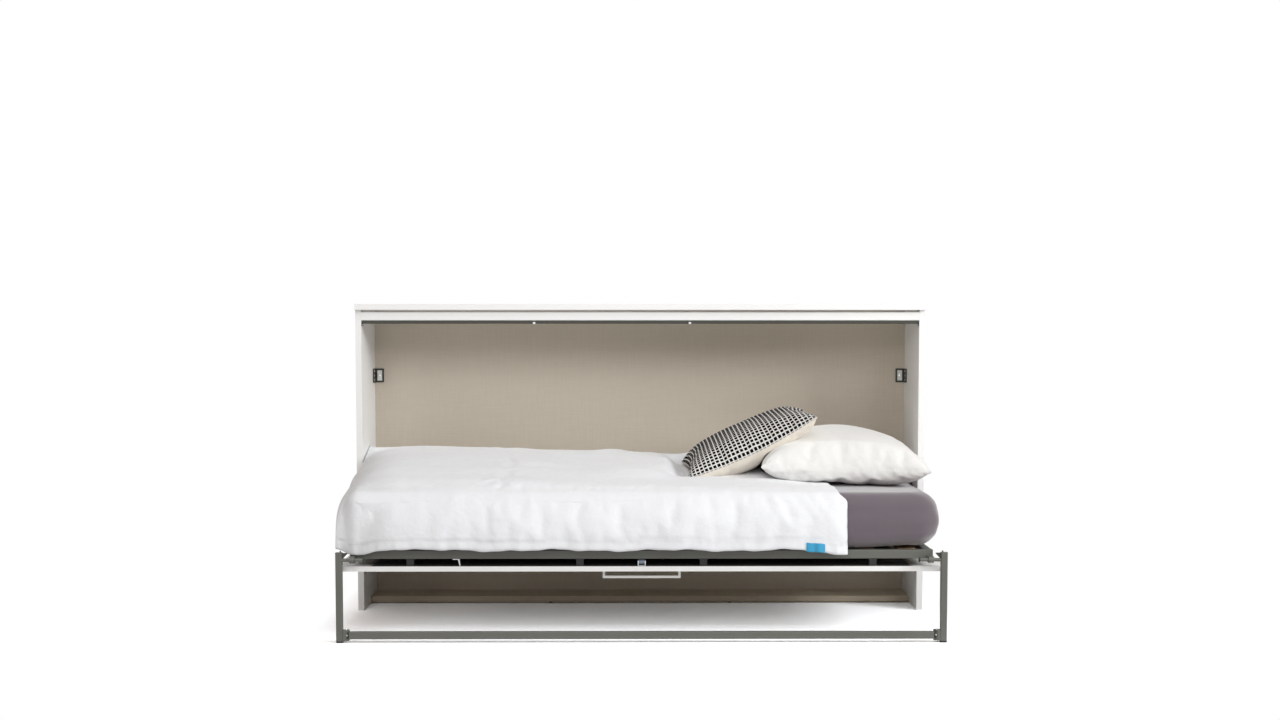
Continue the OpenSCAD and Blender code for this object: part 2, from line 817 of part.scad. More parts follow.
// Roller between two cheeks in the gap under the front rail
roller_y = frame_y + roller_r + 1;
roller_z = panel_top + frame_gap / 2 + 1;
pin_small = 2.5;
module roller_bracket() {
    half = roller_l / 2 + slack;
    base = 2;
    color("silver") placed() union() {
        block([-half - cheek_t, roller_y - roller_r, panel_top],
              [half + cheek_t, roller_y + roller_r + 10, panel_top + base]);
        both_sides() {
            block([half, roller_y - roller_r * 0.8, panel_top],
                  [half + cheek_t, roller_y + roller_r * 0.8, roller_z]);
            bar_x(half, half + cheek_t, roller_y, roller_z, roller_r * 0.8);
        }
        bar_x(-half, half, roller_y, roller_z, pin_small);
    }
}
module centre_roller() {
    color("lightsteelblue") placed() difference() {
        bar_x(-roller_l / 2, roller_l / 2, roller_y, roller_z, roller_r);
        bar_x(-roller_l, roller_l, roller_y, roller_z, pin_small + run_clear);
    }
}

// Soft goods

// Ring of a rounded rectangle at height z, n points a quarter
function plan_ring(hx, hy, r, z, n) = [
    for (q = [0 : 3], k = [0 : n]) let (
        a = q * 90 + k * 90 / n,
        sx = (q == 0 || q == 3) ? 1 : -1,
        sy = q < 2 ? 1 : -1
    ) [sx * (hx - r) + r * cos(a), sy * (hy - r) + r * sin(a), z]
];

// Mattress: a fitted block with soft edges, slightly full sides and a low crown
module mattress() {
    full = 4;
    steps = 4;
    inner = 150;
    hx = matt_l / 2;
    hy = matt_w / 2;
    corner = 42;
    low = [for (k = [0 : steps]) let (a = 90 * k / steps)
        plan_ring(hx - full - matt_r + matt_r * sin(a), hy - full - matt_r + matt_r * sin(a),
                  corner, matt_r - matt_r * cos(a), 4)];
    mid = [plan_ring(hx, hy, corner, matt_h / 2, 4)];
    high = [for (k = [0 : steps]) let (a = 90 * k / steps)
        plan_ring(hx - full - matt_r + matt_r * cos(a), hy - full - matt_r + matt_r * cos(a),
                  corner, matt_h - matt_r + matt_r * sin(a), 4)];
    crown = [plan_ring(hx - inner, hy - inner, corner, matt_h + matt_crown * 0.8, 4),
             plan_ring(hx - 2 * inner, hy - 2 * inner, corner, matt_h + matt_crown, 4)];
    color("rosybrown") placed() translate([0, matt_y + hy, matt_z])
        ring_solid(backwards(concat(low, mid, high, crown)));
}

// Duvet: a stack of sections along the bed, each a closed loop over the top and down the front
function smooth(t) = let (c = min(1, max(0, t))) c * c * (3 - 2 * c);
function bump(x, c, w) = exp(-pow((x - c) / w, 2));

// Room that the duvet leaves at the rear and at the sides of the mattress
rear_y = matt_back - 12;
flap_x = matt_l / 2 + 2 * slack;
end_x = 130;
over_n = 10;
bend_n = 4;
drop_n = 4;
// Sections left of the cushion, and closer ones from there to the right edge
far_n = 8;
close_n = 11;
close_x = 110;
// Radius of the bend over the front edge
front_r = 58;

// Puffed height over the mattress: full towards the left, thin at the right edge
function puff(x) = 7 + (duvet_crown - 7) * (0.48 * smooth((duvet_right - x) / 320)
    + 0.3 * smooth((duvet_right - x) / 900) + 0.22 * smooth((-x - 100) / 700));
// Share of the puffed height from the front edge to the rear one
function rise(y) = (0.05 + 0.57 * smooth((y - duvet_y - front_r) / 270) + 0.38 * smooth((y - duvet_y) / 640))
    * (0.3 + 0.7 * smooth((rear_y - y) / 90));
function folds(x, y) = 5 * sin(x * 0.5 + y * 0.2) + 4 * sin(x * 0.21 - y * 0.45);
// Edge of the left end, which falls towards the front corner
function left_edge(y) = matt_top - 8 + 70 * smooth((y + 420) / 560) - 78 * smooth((-y - 330) / 330);
// Fullness of the section near the left end, 1 on the bed and 0 at the outermost point
function fullness(x) = let (u = (-x - (duvet_left - end_x)) / end_x) u <= 0 ? 1 : sqrt(max(0, 1 - u * u));
function duvet_free(x, y) = let (
    on_bed = matt_top + slack + (puff(x) + folds(x, y) * smooth((duvet_right - x) / 200)) * rise(y)
) left_edge(y) + (on_bed - left_edge(y)) * fullness(x);
// The same, pressed down where the pillow and the cushion lie on it
least = 6;
dent = 14;
function duvet_top(x, y) = let (
    pressed = min(duvet_free(x, y), pillow_low(x, y) - dent, cushion_low(x, y) - dent)
) x < 0 ? duvet_free(x, y) : max(pressed, matt_top + slack + min(least, puff(x) * rise(y)));
function hem_z(x) = duvet_hem - 7 * bump(x, duvet_right - 115, 80) + 3 * sin(x * 0.9) + 2 * sin(x * 0.37);
// Front face, which goes round the corner at the left end, behind the folded leg
function front_y(x) = duvet_y + 76 * smooth((-x - matt_l / 2 + 3) / 28);
// Lower edge of the left end, which climbs from near the bed's front and clears the gas strut
climb_y = matt_y + 48;
climb_l = 540;
function flap_z(y) = duvet_hem + (top_z + eye_r + 8 - duvet_hem) * smooth((y - climb_y) / climb_l);

// Section loop at x: outer line from rear to hem, then inner line back
function outer_line(x) = let (
    y0 = front_y(x),
    r = front_r,
    yb = y0 + r,
    z1 = duvet_top(x, yb),
    side = z1 - r
) concat(
    [[x, rear_y, (duvet_top(x, rear_y) + matt_top) / 2]],
    [for (k = [1 : over_n]) let (y = rear_y + (yb - rear_y) * pow(k / over_n, 0.9))
        [x, y, duvet_top(x, y)]],
    [for (k = [1 : bend_n]) let (a = 90 * k / bend_n) [x, yb - r * sin(a), side + r * cos(a)]],
    [for (k = [1 : drop_n]) [x, y0 + 2 * (1 - k / drop_n), side + (hem_z(x) - side) * k / drop_n]]
);
function inner_line(x) = let (
    flap = x < -matt_l / 2,
    yi = matt_y - slack,
    zt = matt_top + slack,
    r = matt_r + slack,
    yf = front_y(x) + 12,
    steps = drop_n + bend_n + over_n
) flap
    ? [for (k = [0 : steps]) let (y = yf + (rear_y - yf) * k / steps)
        [x, y, min(flap_z(y), duvet_top(x, y) - 6)]]
    : concat(
        [for (k = [drop_n : -1 : 1]) [x, yi, (zt - r) + (hem_z(x) - (zt - r)) * k / drop_n]],
        [for (k = [bend_n : -1 : 1]) let (a = 90 * k / bend_n)
            [x, yi + r - r * sin(a), zt - r + r * cos(a)]],
        [for (k = [over_n : -1 : 0]) [x, rear_y + (yi + r - rear_y) * k / over_n, zt]]
    );
module duvet() {
    m = matt_l / 2;
    xs = concat(
        [-duvet_left, -duvet_left + 2, -duvet_left + 7, -duvet_left + 16, -flap_x],
        [-m + slack, -m + 20, -m + 50, -m + 100],
        [for (k = [0 : far_n - 1]) -m + 150 + k * (m - 150 + close_x) / far_n],
        [for (k = [0 : close_n]) close_x + k * (duvet_right - 60 - close_x) / close_n],
        [duvet_right - 25, duvet_right]
    );
    color("whitesmoke") placed()
        ring_solid(backwards([for (x = xs) concat(outer_line(x), inner_line(x))]));
}

// Pillow and cushion are lenses with drawn-in sides: each is [middle, half length, half width, height over
// the seam, depth under it, tilt]
rim = 2.5;
pull = 0.07;
pillow_down = pillow_h * 0.3;
pillow_form = [
    [pillow_tip - pillow_l / 2, matt_y + 168 + pillow_w / 2, matt_top + pillow_down + 3],
    pillow_l / 2, pillow_w / 2, pillow_h - pillow_down, pillow_down, 0
];
cushion_form = [
    [cushion_x, -166, cushion_z], cushion_s / 2, cushion_s / 2, cushion_h / 2, cushion_h / 2, cushion_tilt
];
function lens(u, v) = pow(max(0, 1 - u * u), 0.45) * pow(max(0, 1 - v * v), 0.3);
// Height of a form's seam plane, of its lower face and of its upper face over a point, far away if beside it
function lens_uv(form, x, y) = let (
    u = (x - form[0][0]) / form[1] / cos(form[5]),
    v = (y - form[0][1]) / form[2]
) [u / (1 - pull * max(0, 1 - v * v)), v / (1 - pull * max(0, 1 - u * u))];
function face_z(form, x, y, side, away, reach) = let (uv = lens_uv(form, x, y))
    abs(uv[0]) >= reach || abs(uv[1]) >= reach ? away
    : form[0][2] + (x - form[0][0]) * tan(form[5])
        + (side > 0 ? rim + form[3] * lens(uv[0], uv[1]) : -rim - form[4] * lens(uv[0], uv[1]))
        / cos(form[5])
        + beside_rise * (pow(max(0, abs(uv[0]) - 1), 2) + pow(max(0, abs(uv[1]) - 1), 2));
// The duvet is pressed down a little past the forms' edges too
beside = 1.42;
beside_rise = 700;
function pillow_low(x, y) = face_z(pillow_form, x, y, -1, 9999, beside);
function cushion_low(x, y) = face_z(cushion_form, x, y, -1, 9999, beside);
function pillow_high(x, y) = face_z(pillow_form, x, y, 1, -9999, 1);

// Point of a form in the working frame, from u, v and the height over the seam plane
function lens_point(form, u, v, h) = let (
    x = form[1] * u * (1 - pull * (1 - v * v)),
    y = form[2] * v * (1 - pull * (1 - u * u))
) form[0] + [x * cos(form[5]) - h * sin(form[5]), y, x * sin(form[5]) + h * cos(form[5])];
// Lower points never sink into what the form lies on
function lifted(p, bed) = [p[0], p[1], max(p[2], bed)];
function duvet_bed(p) = p[0] > duvet_right + 60 ? -9999
    : duvet_top(min(p[0], duvet_right), p[1]) + 3;
function form_rings(form, m, n, on_pillow) = [for (k = [0 : m]) let (u = sin(-90 + 180 * k / m)) concat(
    [for (j = [0 : n]) let (v = sin(-90 + 180 * j / n))
        lens_point(form, u, v, rim + form[3] * lens(u, v))],
    [for (j = [n : -1 : 0]) let (
        v = sin(-90 + 180 * j / n),
        p = lens_point(form, u, v, -rim - form[4] * lens(u, v)),
        inside = abs(u) < 0.999 && abs(v) < 0.999
    ) lifted(p, !inside ? -9999 : max(duvet_bed(p), on_pillow ? pillow_high(p[0], p[1]) + 4 : -9999))]
)];

module pillow() {
    color("white") placed() ring_solid(form_rings(pillow_form, 18, 14, false));
}
module cushion() {
    color("darkslategray") placed() ring_solid(form_rings(cushion_form, 18, 14, true));
}

// Leg bail

module post() {
    difference() {
        tube_z(glide_h, post_top - 2, bail_half - leg_s / 2, post_y, leg_s, leg_s, leg_wall);
        bar_x(post_in - cut, post_in + leg_wall + cut, leg_y, leg_z, axle_r);
    }
}
module post_left() {
    color("gray") placed() mirror([1, 0, 0]) post();
}
module post_right() {
    color("gray") placed() post();
}
module crossbar() {
    x = post_in - bracket_w - slack;
    color("gray") placed() tube_x(-x, x, post_y, bar_z, leg_s, bar_h, leg_wall);
}

// Plug in the top of each post, with a small peg
module post_caps() {
    x = bail_half - leg_s / 2;
    color("gray") placed() both_sides() {
        block([x - leg_s / 2, post_y - leg_s / 2, post_top - 2],
              [x + leg_s / 2, post_y + leg_s / 2, post_top]);
        translate([x - 5, post_y, post_top]) cylinder(h = 6, r = 2.5);
    }
}

// Three-cornered stiffening plate between the post and its axle
module post_gussets() {
    low = leg_z + axle_r;
    color("gray") placed() both_sides() translate([post_in, leg_y + gusset_t / 2, 0]) rotate([90, 0, 0])
        linear_extrude(gusset_t) polygon([
            [0, low], [0, post_top - 1], [-gusset_s + 2, post_top - 1], [-gusset_s + 2, post_top - 4],
            [-4, low]
        ]);
}

// Corner brackets between crossbar and posts: cast, with a chamfered front and a tongue in the tube
module bar_brackets() {
    chamfer = bracket_w - 9;
    tongue = 18;
    room = leg_wall + slack;
    low = bar_z - bar_h / 2 - bracket_out;
    high = bar_z + bar_h / 2 + bracket_out;
    color("gray") placed() both_sides() translate([post_in, post_y - leg_s / 2, 0]) {
        translate([0, 0, low]) linear_extrude(high - low) polygon([
            [0, 0], [0, leg_s], [-bracket_w, leg_s], [-bracket_w, chamfer], [chamfer - bracket_w, 0]
        ]);
        block([-bracket_w - tongue, room, bar_z - bar_h / 2 + room],
              [-bracket_w, leg_s - room, bar_z + bar_h / 2 - room]);
    }
}
module leg_bolts() {
    head_r = 4;
    high = 3;
    top = bar_z + bar_h / 2 + bracket_out;
    face = (bracket_w - 9) / 2;
    color("silver") placed() both_sides() {
        translate([post_in - bracket_w / 2, post_y + 3, top])
            cylinder(h = high, r1 = head_r, r2 = head_r * 0.7);
        translate([post_in - bracket_w + face, post_y - leg_s / 2 + face, bar_z])
            rotate([90, 0, -45]) cylinder(h = high, r1 = head_r, r2 = head_r * 0.7);
    }
}

module leg_axles() {
    color("gray") placed() both_sides()
        bar_x(post_in - axle_l, bail_half - leg_wall - slack, leg_y, leg_z, axle_r - run_clear);
}
module axle_caps() {
    color("black") placed() both_sides()
        bar_x(post_in - axle_l - 4, post_in - axle_l, leg_y, leg_z, axle_cap_r);
}
module leg_glides() {
    color("black") placed() both_sides() translate([bail_half - leg_s / 2, post_y, 0]) {
        linear_extrude(glide_h) round_rect(leg_s, leg_s, 3);
        translate([0, 0, glide_h]) linear_extrude(10)
            square([leg_s - 2 * leg_wall - 2 * slack, leg_s - 2 * leg_wall - 2 * slack], center = true);
    }
}

// Gas struts, drawn hanging down from the top stud and then turned into place

module strut_turned() {
    translate([strut_x, top_y, top_z]) rotate([strut_ang, 0, 0]) children();
}
module strut_cylinder() {
    neck = eye_r + 6;
    bottom = neck + strut_l;
    strut_turned() difference() {
        union() {
            bar_x(-eye_w / 2, eye_w / 2, 0, 0, eye_r);
            translate([0, 0, -neck - 2]) cylinder(h = neck + 2, r = rod_r + 2);
            translate([0, 0, -bottom]) cylinder(h = strut_l, r = strut_r);
        }
        bar_x(-eye_w, eye_w, 0, 0, stud_r + run_clear);
        translate([0, 0, -bottom + 12]) cylinder(h = strut_l - 18, r = strut_r - strut_wall);
        translate([0, 0, -bottom - cut]) cylinder(h = 14, r = rod_r + run_clear);
    }
}
module strut_cylinder_left() {
    color("dimgray") placed() mirror([1, 0, 0]) strut_cylinder();
}
module strut_cylinder_right() {
    color("dimgray") placed() strut_cylinder();
}
module strut_rod() {
    piston_z = eye_r + 18;
    strut_turned() union() {
        bar_x(-eye_w / 2, eye_w / 2, 0, -strut_len, eye_r);
        translate([0, 0, -strut_len]) cylinder(h = strut_len - piston_z, r = rod_r);
        translate([0, 0, -piston_z - 6]) cylinder(h = 6, r = strut_r - strut_wall - slack);
        translate([0, 0, -strut_len]) cylinder(h = eye_r + 8, r = rod_r + 2.5);
    }
}
module strut_rod_left() {
    color("silver") placed() mirror([1, 0, 0]) strut_rod();
}
module strut_rod_right() {
    color("silver") placed() strut_rod();
}

left_side();
right_side();
top_panel();
back_panel();
fascia();
stiffener();
stiffener_ends();
stiffener_clips();
bottom_board();
board_feet();
wall_bracket_left();
wall_bracket_right();
wall_pads();
cabinet_screws();
side_plate_left();
side_plate_right();
pivot_bushes();
front_panel();
panel_spacers();
panel_angle();
handle();
leg_buffers();
front_rail();
rear_rail();
end_rail_left();
end_rail_right();
cross_tubes();
corner_fittings();
slats();
slat_holders();
hinge_plate_left();
hinge_plate_right();
roller_bracket();
centre_roller();
mattress();
duvet();
pillow();
cushion();
post_left();
post_right();
crossbar();
post_caps();
post_gussets();
bar_brackets();
leg_bolts();
leg_axles();
axle_caps();
leg_glides();
strut_cylinder_left();
strut_cylinder_right();
strut_rod_left();
strut_rod_right();
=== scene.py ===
"""A horizontal wall bed with its bedding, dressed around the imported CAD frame.

The cabinet, bed frame, leg bail and gas struts keep their CAD solids and get procedural finishes. The
mattress, duvet, pillow and cushion are closed skins worked out with numpy, filled by cloth simulation.
"""
import json
import logging
import math
from dataclasses import dataclass, field
from enum import Enum
from typing import Any

import bpy
import numpy as np
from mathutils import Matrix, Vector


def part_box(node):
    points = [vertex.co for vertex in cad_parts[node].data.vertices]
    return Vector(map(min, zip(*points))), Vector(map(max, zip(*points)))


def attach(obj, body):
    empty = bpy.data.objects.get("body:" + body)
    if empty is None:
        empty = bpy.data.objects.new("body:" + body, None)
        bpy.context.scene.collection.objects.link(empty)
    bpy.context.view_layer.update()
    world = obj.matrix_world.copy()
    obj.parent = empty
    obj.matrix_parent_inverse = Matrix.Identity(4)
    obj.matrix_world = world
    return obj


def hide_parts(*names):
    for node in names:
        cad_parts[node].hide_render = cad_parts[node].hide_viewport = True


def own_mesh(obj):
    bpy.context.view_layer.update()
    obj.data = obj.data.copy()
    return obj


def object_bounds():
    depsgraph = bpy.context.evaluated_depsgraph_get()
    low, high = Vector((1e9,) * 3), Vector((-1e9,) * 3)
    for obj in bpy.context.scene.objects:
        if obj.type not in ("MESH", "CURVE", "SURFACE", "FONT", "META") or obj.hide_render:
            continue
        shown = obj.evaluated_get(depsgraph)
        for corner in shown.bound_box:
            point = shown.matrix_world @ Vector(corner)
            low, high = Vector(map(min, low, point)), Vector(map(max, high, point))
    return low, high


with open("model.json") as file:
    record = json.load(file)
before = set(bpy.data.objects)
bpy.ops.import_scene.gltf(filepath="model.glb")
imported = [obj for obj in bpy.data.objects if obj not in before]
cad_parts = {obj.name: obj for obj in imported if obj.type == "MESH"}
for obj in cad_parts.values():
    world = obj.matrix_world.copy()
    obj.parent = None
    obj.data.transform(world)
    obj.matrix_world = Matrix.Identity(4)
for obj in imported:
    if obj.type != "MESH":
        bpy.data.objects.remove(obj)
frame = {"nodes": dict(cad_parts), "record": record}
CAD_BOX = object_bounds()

LOG = logging.getLogger("wall_bed")
NODES = frame["nodes"]
Colour = tuple[float, float, float]
Array = np.ndarray
FAR = 9.0  # metres, further than any part of the bed
TINY = 1e-6  # stands for a length of nothing where one is divided by
TOUCH = 0.001  # metres of room between the duvet and what it hangs on


# --------------------------------------------------------------------------- shader maths


class Wire:
    """An output of a material node that can stand in sums and products."""

    def __init__(self, paint: "Paint", socket: bpy.types.NodeSocket) -> None:
        """Keeps the socket and the paint that it belongs to."""
        self.paint = paint
        self.socket = socket

    def __add__(self, other: "Wire | float") -> "Wire":
        """This plus other."""
        return self.paint.maths("ADD", self, other)

    def __mul__(self, other: "Wire | float") -> "Wire":
        """This times other."""
        return self.paint.maths("MULTIPLY", self, other)

    def __sub__(self, other: "Wire | float") -> "Wire":
        """This minus other."""
        return self.paint.maths("SUBTRACT", self, other)

    def __rsub__(self, other: "Wire | float") -> "Wire":
        """Other minus this."""
        return self.paint.maths("SUBTRACT", other, self)

    def __truediv__(self, other: "Wire | float") -> "Wire":
        """This over other."""
        return self.paint.maths("DIVIDE", self, other)

    def __abs__(self) -> "Wire":
        """This without its sign."""
        return self.paint.maths("ABSOLUTE", self)

    def clipped(self) -> "Wire":
        """This, kept between 0 and 1."""
        return self.paint.maths("MINIMUM", self.paint.maths("MAXIMUM", self, 0.0), 1.0)

    def climb(self, start: "Wire | float", slope: float) -> "Wire":
        """0 up to start, then rising to 1 at the slope; a negative slope rises the other way."""
        return ((self - start) * slope).clipped()

    def between(self, low: float, high: float) -> "Wire":
        """A number that is low where this is 0 and high where this is 1."""
        return self * (high - low) + low

    def fraction(self) -> "Wire":
        """The part of this after the decimal point."""
        return self.paint.maths("FRACT", self)

    def wave(self) -> "Wire":
        """The sine of this, in radians."""
        return self.paint.maths("SINE", self)


class Paint:
    """A material being mixed around one Principled shader."""

    def __init__(self, name: str) -> None:
        """Starts an empty material.

        Args:
            name: The material's name.
        """
        self.material = bpy.data.materials.new(name)
        self.material.use_nodes = True
        self.tree = self.material.node_tree
        self.tree.nodes.clear()
        self.shader = self.node("ShaderNodeBsdfPrincipled")
        self.output = self.node("ShaderNodeOutputMaterial")
        self.surface(self.shader)

    def surface(self, shader: bpy.types.Node) -> None:
        """Links a shader to the material's output."""
        self.tree.links.new(shader.outputs[0], self.output.inputs["Surface"])

    def node(self, kind: str, settings: dict[str, Any] | None = None,
             inputs: dict[Any, Any] | None = None) -> bpy.types.Node:
        """Adds one node.

        Args:
            kind: The node's type.
            settings: Properties set first. "stops" fills a colour ramp with (place, colour) pairs.
            inputs: Values or wires by socket name or number.

        Returns:
            The node.
        """
        made = self.tree.nodes.new(kind)
        for name, value in (settings or {}).items():
            if name == "stops":
                ramp = made.color_ramp
                while len(ramp.elements) < len(value):
                    ramp.elements.new(0.5)
                for element, (place, colour) in zip(ramp.elements, value):
                    element.position = place
                    element.color = (*colour, 1.0)
            else:
                setattr(made, name, value)
        for name, value in (inputs or {}).items():
            if isinstance(value, Wire):
                self.tree.links.new(value.socket, made.inputs[name])
            else:
                made.inputs[name].default_value = value
        return made

    def maths(self, operation: str, a: "Wire | float", b: "Wire | float" = 0.0) -> Wire:
        """One Math node.

        Args:
            operation: The Math node's operation.
            a: First value.
            b: Second value.

        Returns:
            Its result.
        """
        made = self.node("ShaderNodeMath", {"operation": operation}, {0: a, 1: b})
        return Wire(self, made.outputs[0])

    def coordinates(self, source: str = "Object") -> Wire:
        """Object or UV coordinates."""
        return Wire(self, self.node("ShaderNodeTexCoord").outputs[source])

    def axes(self, source: str = "Object") -> tuple[Wire, Wire, Wire]:
        """The three coordinates one by one."""
        made = self.node("ShaderNodeSeparateXYZ", None, {0: self.coordinates(source)})
        return tuple(Wire(self, made.outputs[k]) for k in range(3))

    def attribute(self, name: str) -> Wire:
        """A number that the mesh holds at each vertex."""
        return Wire(self, self.node("ShaderNodeAttribute", {"attribute_name": name}).outputs["Fac"])

    def noise(self, scale: float | tuple[float, float, float], detail: float = 3.0,
              source: str = "Object") -> Wire:
        """Soft noise from 0 to 1.

        Args:
            scale: Cells per metre, one number or one for each axis.
            detail: Octaves.
            source: Which coordinates it reads.

        Returns:
            The noise.
        """
        stretch = scale if isinstance(scale, tuple) else (scale,) * 3
        mapped = self.node("ShaderNodeMapping", None,
                           {"Vector": self.coordinates(source), "Scale": stretch})
        made = self.node("ShaderNodeTexNoise", None, {
            "Vector": Wire(self, mapped.outputs[0]), "Scale": 1.0, "Detail": detail})
        return Wire(self, made.outputs["Fac"])

    def mix(self, share: "Wire | float", low: "Colour | Wire", high: "Colour | Wire") -> Wire:
        """A colour between two others.

        Args:
            share: 0 gives low, 1 gives high.
            low: First colour.
            high: Second colour.

        Returns:
            The colour.
        """
        full = [c if isinstance(c, Wire) else (*c, 1.0) for c in (low, high)]
        made = self.node("ShaderNodeMix", {"data_type": "RGBA"}, {0: share, 6: full[0], 7: full[1]})
        return Wire(self, made.outputs[2])

    def tones(self, share: "Wire | float", colour: Colour, low: float, high: float = 1.0) -> Wire:
        """A colour between two tones of its own, given as factors."""
        return self.mix(share, scaled(colour, low), scaled(colour, high))

    def blend(self, share: Wire, low: bpy.types.Node, high: bpy.types.Node) -> bpy.types.Node:
        """A shader between two others."""
        return self.node("ShaderNodeMixShader", None, {
            0: share, 1: Wire(self, low.outputs[0]), 2: Wire(self, high.outputs[0])})

    def bump(self, height: Wire, depth: float, below: Wire | None = None) -> Wire:
        """A normal that follows a height.

        Args:
            height: Height from 0 to 1.
            depth: What a height of 1 stands for, in metres.
            below: A bump that this one lies on.

        Returns:
            The normal.
        """
        inputs: dict[str, Any] = {"Height": height, "Distance": depth, "Strength": 1.0}
        if below is not None:
            inputs["Normal"] = below
        return Wire(self, self.node("ShaderNodeBump", None, inputs).outputs[0])

    def finish(self, **sockets: Any) -> bpy.types.Material:
        """Sets the Principled shader's sockets, with underscores for spaces, and gives the material."""
        for name, value in sockets.items():
            socket = self.shader.inputs[name.replace("_", " ")]
            if isinstance(value, Wire):
                self.tree.links.new(value.socket, socket)
            elif isinstance(value, tuple):
                socket.default_value = (*value, 1.0)
            else:
                socket.default_value = value
        return self.material


def scaled(colour: Colour, share: float) -> Colour:
    """A colour made darker or lighter by one factor."""
    return tuple(min(1.0, c * share) for c in colour)


# --------------------------------------------------------------------------- finishes


@dataclass(frozen=True)
class Finish:
    """What a surface is made of: a name, a main colour and the shader's values."""

    name: str
    colour: Colour

    def material(self) -> bpy.types.Material:
        """The material."""
        paint = Paint(self.name)
        return paint.finish(**self.sockets(paint))

    def sockets(self, paint: Paint) -> dict[str, Any]:
        """Works out what goes into the Principled shader.

        Args:
            paint: The material being mixed.

        Returns:
            Values and wires by the socket's name, with underscores for spaces.
        """
        return {"Base_Color": self.colour}


@dataclass(frozen=True)
class Melamine(Finish):
    """White melamine on board: faint cloudiness and a fine pearl texture."""

    colour: Colour = (0.90, 0.90, 0.89)
    cloudy: float = 0.985

    def white(self, paint: Paint) -> tuple[Wire, Wire]:
        """The cloudiness and the white that it dulls."""
        cloud = paint.noise(7.0, detail=4.0)
        return cloud, paint.tones(cloud, self.colour, self.cloudy)

    def sockets(self, paint: Paint) -> dict[str, Any]:
        """Cloudy white with pearls in relief."""
        cloud, white = self.white(paint)
        pearl = paint.noise(900.0, detail=2.0)
        return {"Base_Color": white, "Roughness": cloud.between(0.36, 0.44), "Specular_IOR_Level": 0.4,
                "Normal": paint.bump(pearl, depth=0.00008)}


@dataclass(frozen=True)
class ShadePaintedBoard(Melamine):
    """White melamine whose inner face is painted near-black as painted shade for the dark gap under the
    frame, and left white near its two ends.
    """

    # Near-black colour of the painted shade.
    backing: Colour = (0.030, 0.029, 0.027)
    inner_z: float = 0.0
    reach: float = 0.0

    def sockets(self, paint: Paint) -> dict[str, Any]:
        """White, with the painted shade mixed over its inner face."""
        x, _, z = paint.axes()
        white = self.white(paint)[1]
        # Painted shade: near-black with a faint texture, over the inner face away from the ends.
        shade_noise = paint.noise(700.0)
        dark = paint.tones(shade_noise, self.backing, 0.7, 1.4)
        inside = z.climb(self.inner_z, 4000.0) * abs(x).climb(self.reach, -40.0)
        return {"Base_Color": paint.mix(inside, white, dark), "Roughness": inside.between(0.40, 0.85),
                "Specular_IOR_Level": 0.4, "Normal": paint.bump(shade_noise * inside, depth=0.0003)}


@dataclass(frozen=True)
class LinenFoil(Finish):
    """Linen-look laminate: slubby threads both ways on the face, plain board behind it."""

    behind: Colour
    face_y: float
    thread: float = 330.0
    slub: float = 14.0
    through: float = 9.0

    def sockets(self, paint: Paint) -> dict[str, Any]:
        """Two sets of threads and a finer one, spread about the middle tone."""
        y = paint.axes()[1]
        coarse, thin = self.thread * 1.5, self.thread * 4
        across = paint.noise((self.slub, self.through, coarse))
        upright = paint.noise((coarse, self.through, self.slub))
        fine = paint.noise((thin, 60.0, thin), detail=2.0)
        weave = (across * 0.36 + upright * 0.34 + fine * 0.3 - 0.5) * 2.2 + 0.5
        cloud = paint.noise(2.5)
        cloth = paint.tones((weave * 0.8 + cloud * 0.2).clipped(), self.colour, 0.88, 1.10)
        return {"Base_Color": paint.mix(y.climb(self.face_y, 400.0), cloth, self.behind),
                "Roughness": weave.between(0.62, 0.50), "Specular_IOR_Level": 0.25,
                "Normal": paint.bump(weave, depth=0.00035)}


@dataclass(frozen=True)
class PowderCoat(Finish):
    """Powder-coated steel: fine orange peel and cloudiness, with a dust-like lighter speckle."""

    roughness: float = 0.45

    def sockets(self, paint: Paint) -> dict[str, Any]:
        """Cloudy paint, lighter specks and the peel in relief."""
        peel = paint.noise(1400.0, detail=2.0)
        body = paint.tones(paint.noise(11.0, detail=5.0), self.colour, 0.9, 1.1)
        speck = paint.noise(2600.0, detail=1.0).climb(0.62, 9.0)
        return {"Base_Color": paint.mix(speck * 0.35, body, scaled(self.colour, 1.7)), "Metallic": 0.25,
                "Roughness": peel * 0.15 + self.roughness, "Normal": paint.bump(peel, depth=0.00012)}


@dataclass(frozen=True)
class PlatedSteel(Finish):
    """Zinc-plated or polished steel with faint drawing marks."""

    colour: Colour = (0.66, 0.67, 0.66)
    roughness: float = 0.3

    def sockets(self, paint: Paint) -> dict[str, Any]:
        """Bloomed metal with marks drawn along X."""
        drawn = paint.noise((60.0, 1800.0, 1800.0))
        bloom = paint.noise(90.0, detail=4.0)
        return {"Base_Color": paint.tones(bloom, self.colour, 0.82), "Metallic": 0.95,
                "Roughness": drawn * 0.2 + self.roughness, "Normal": paint.bump(drawn, depth=0.00004)}


@dataclass(frozen=True)
class Moulding(Finish):
    """Moulded plastic or rubber with a fine spark-eroded grain."""

    roughness: float = 0.5
    grain: float = 0.0001

    def sockets(self, paint: Paint) -> dict[str, Any]:
        """Cloudy colour with the grain in relief."""
        grain = paint.noise(1900.0)
        return {"Base_Color": paint.tones(paint.noise(30.0), self.colour, 0.9, 1.12),
                "Roughness": grain * 0.14 + self.roughness, "Normal": paint.bump(grain, self.grain)}


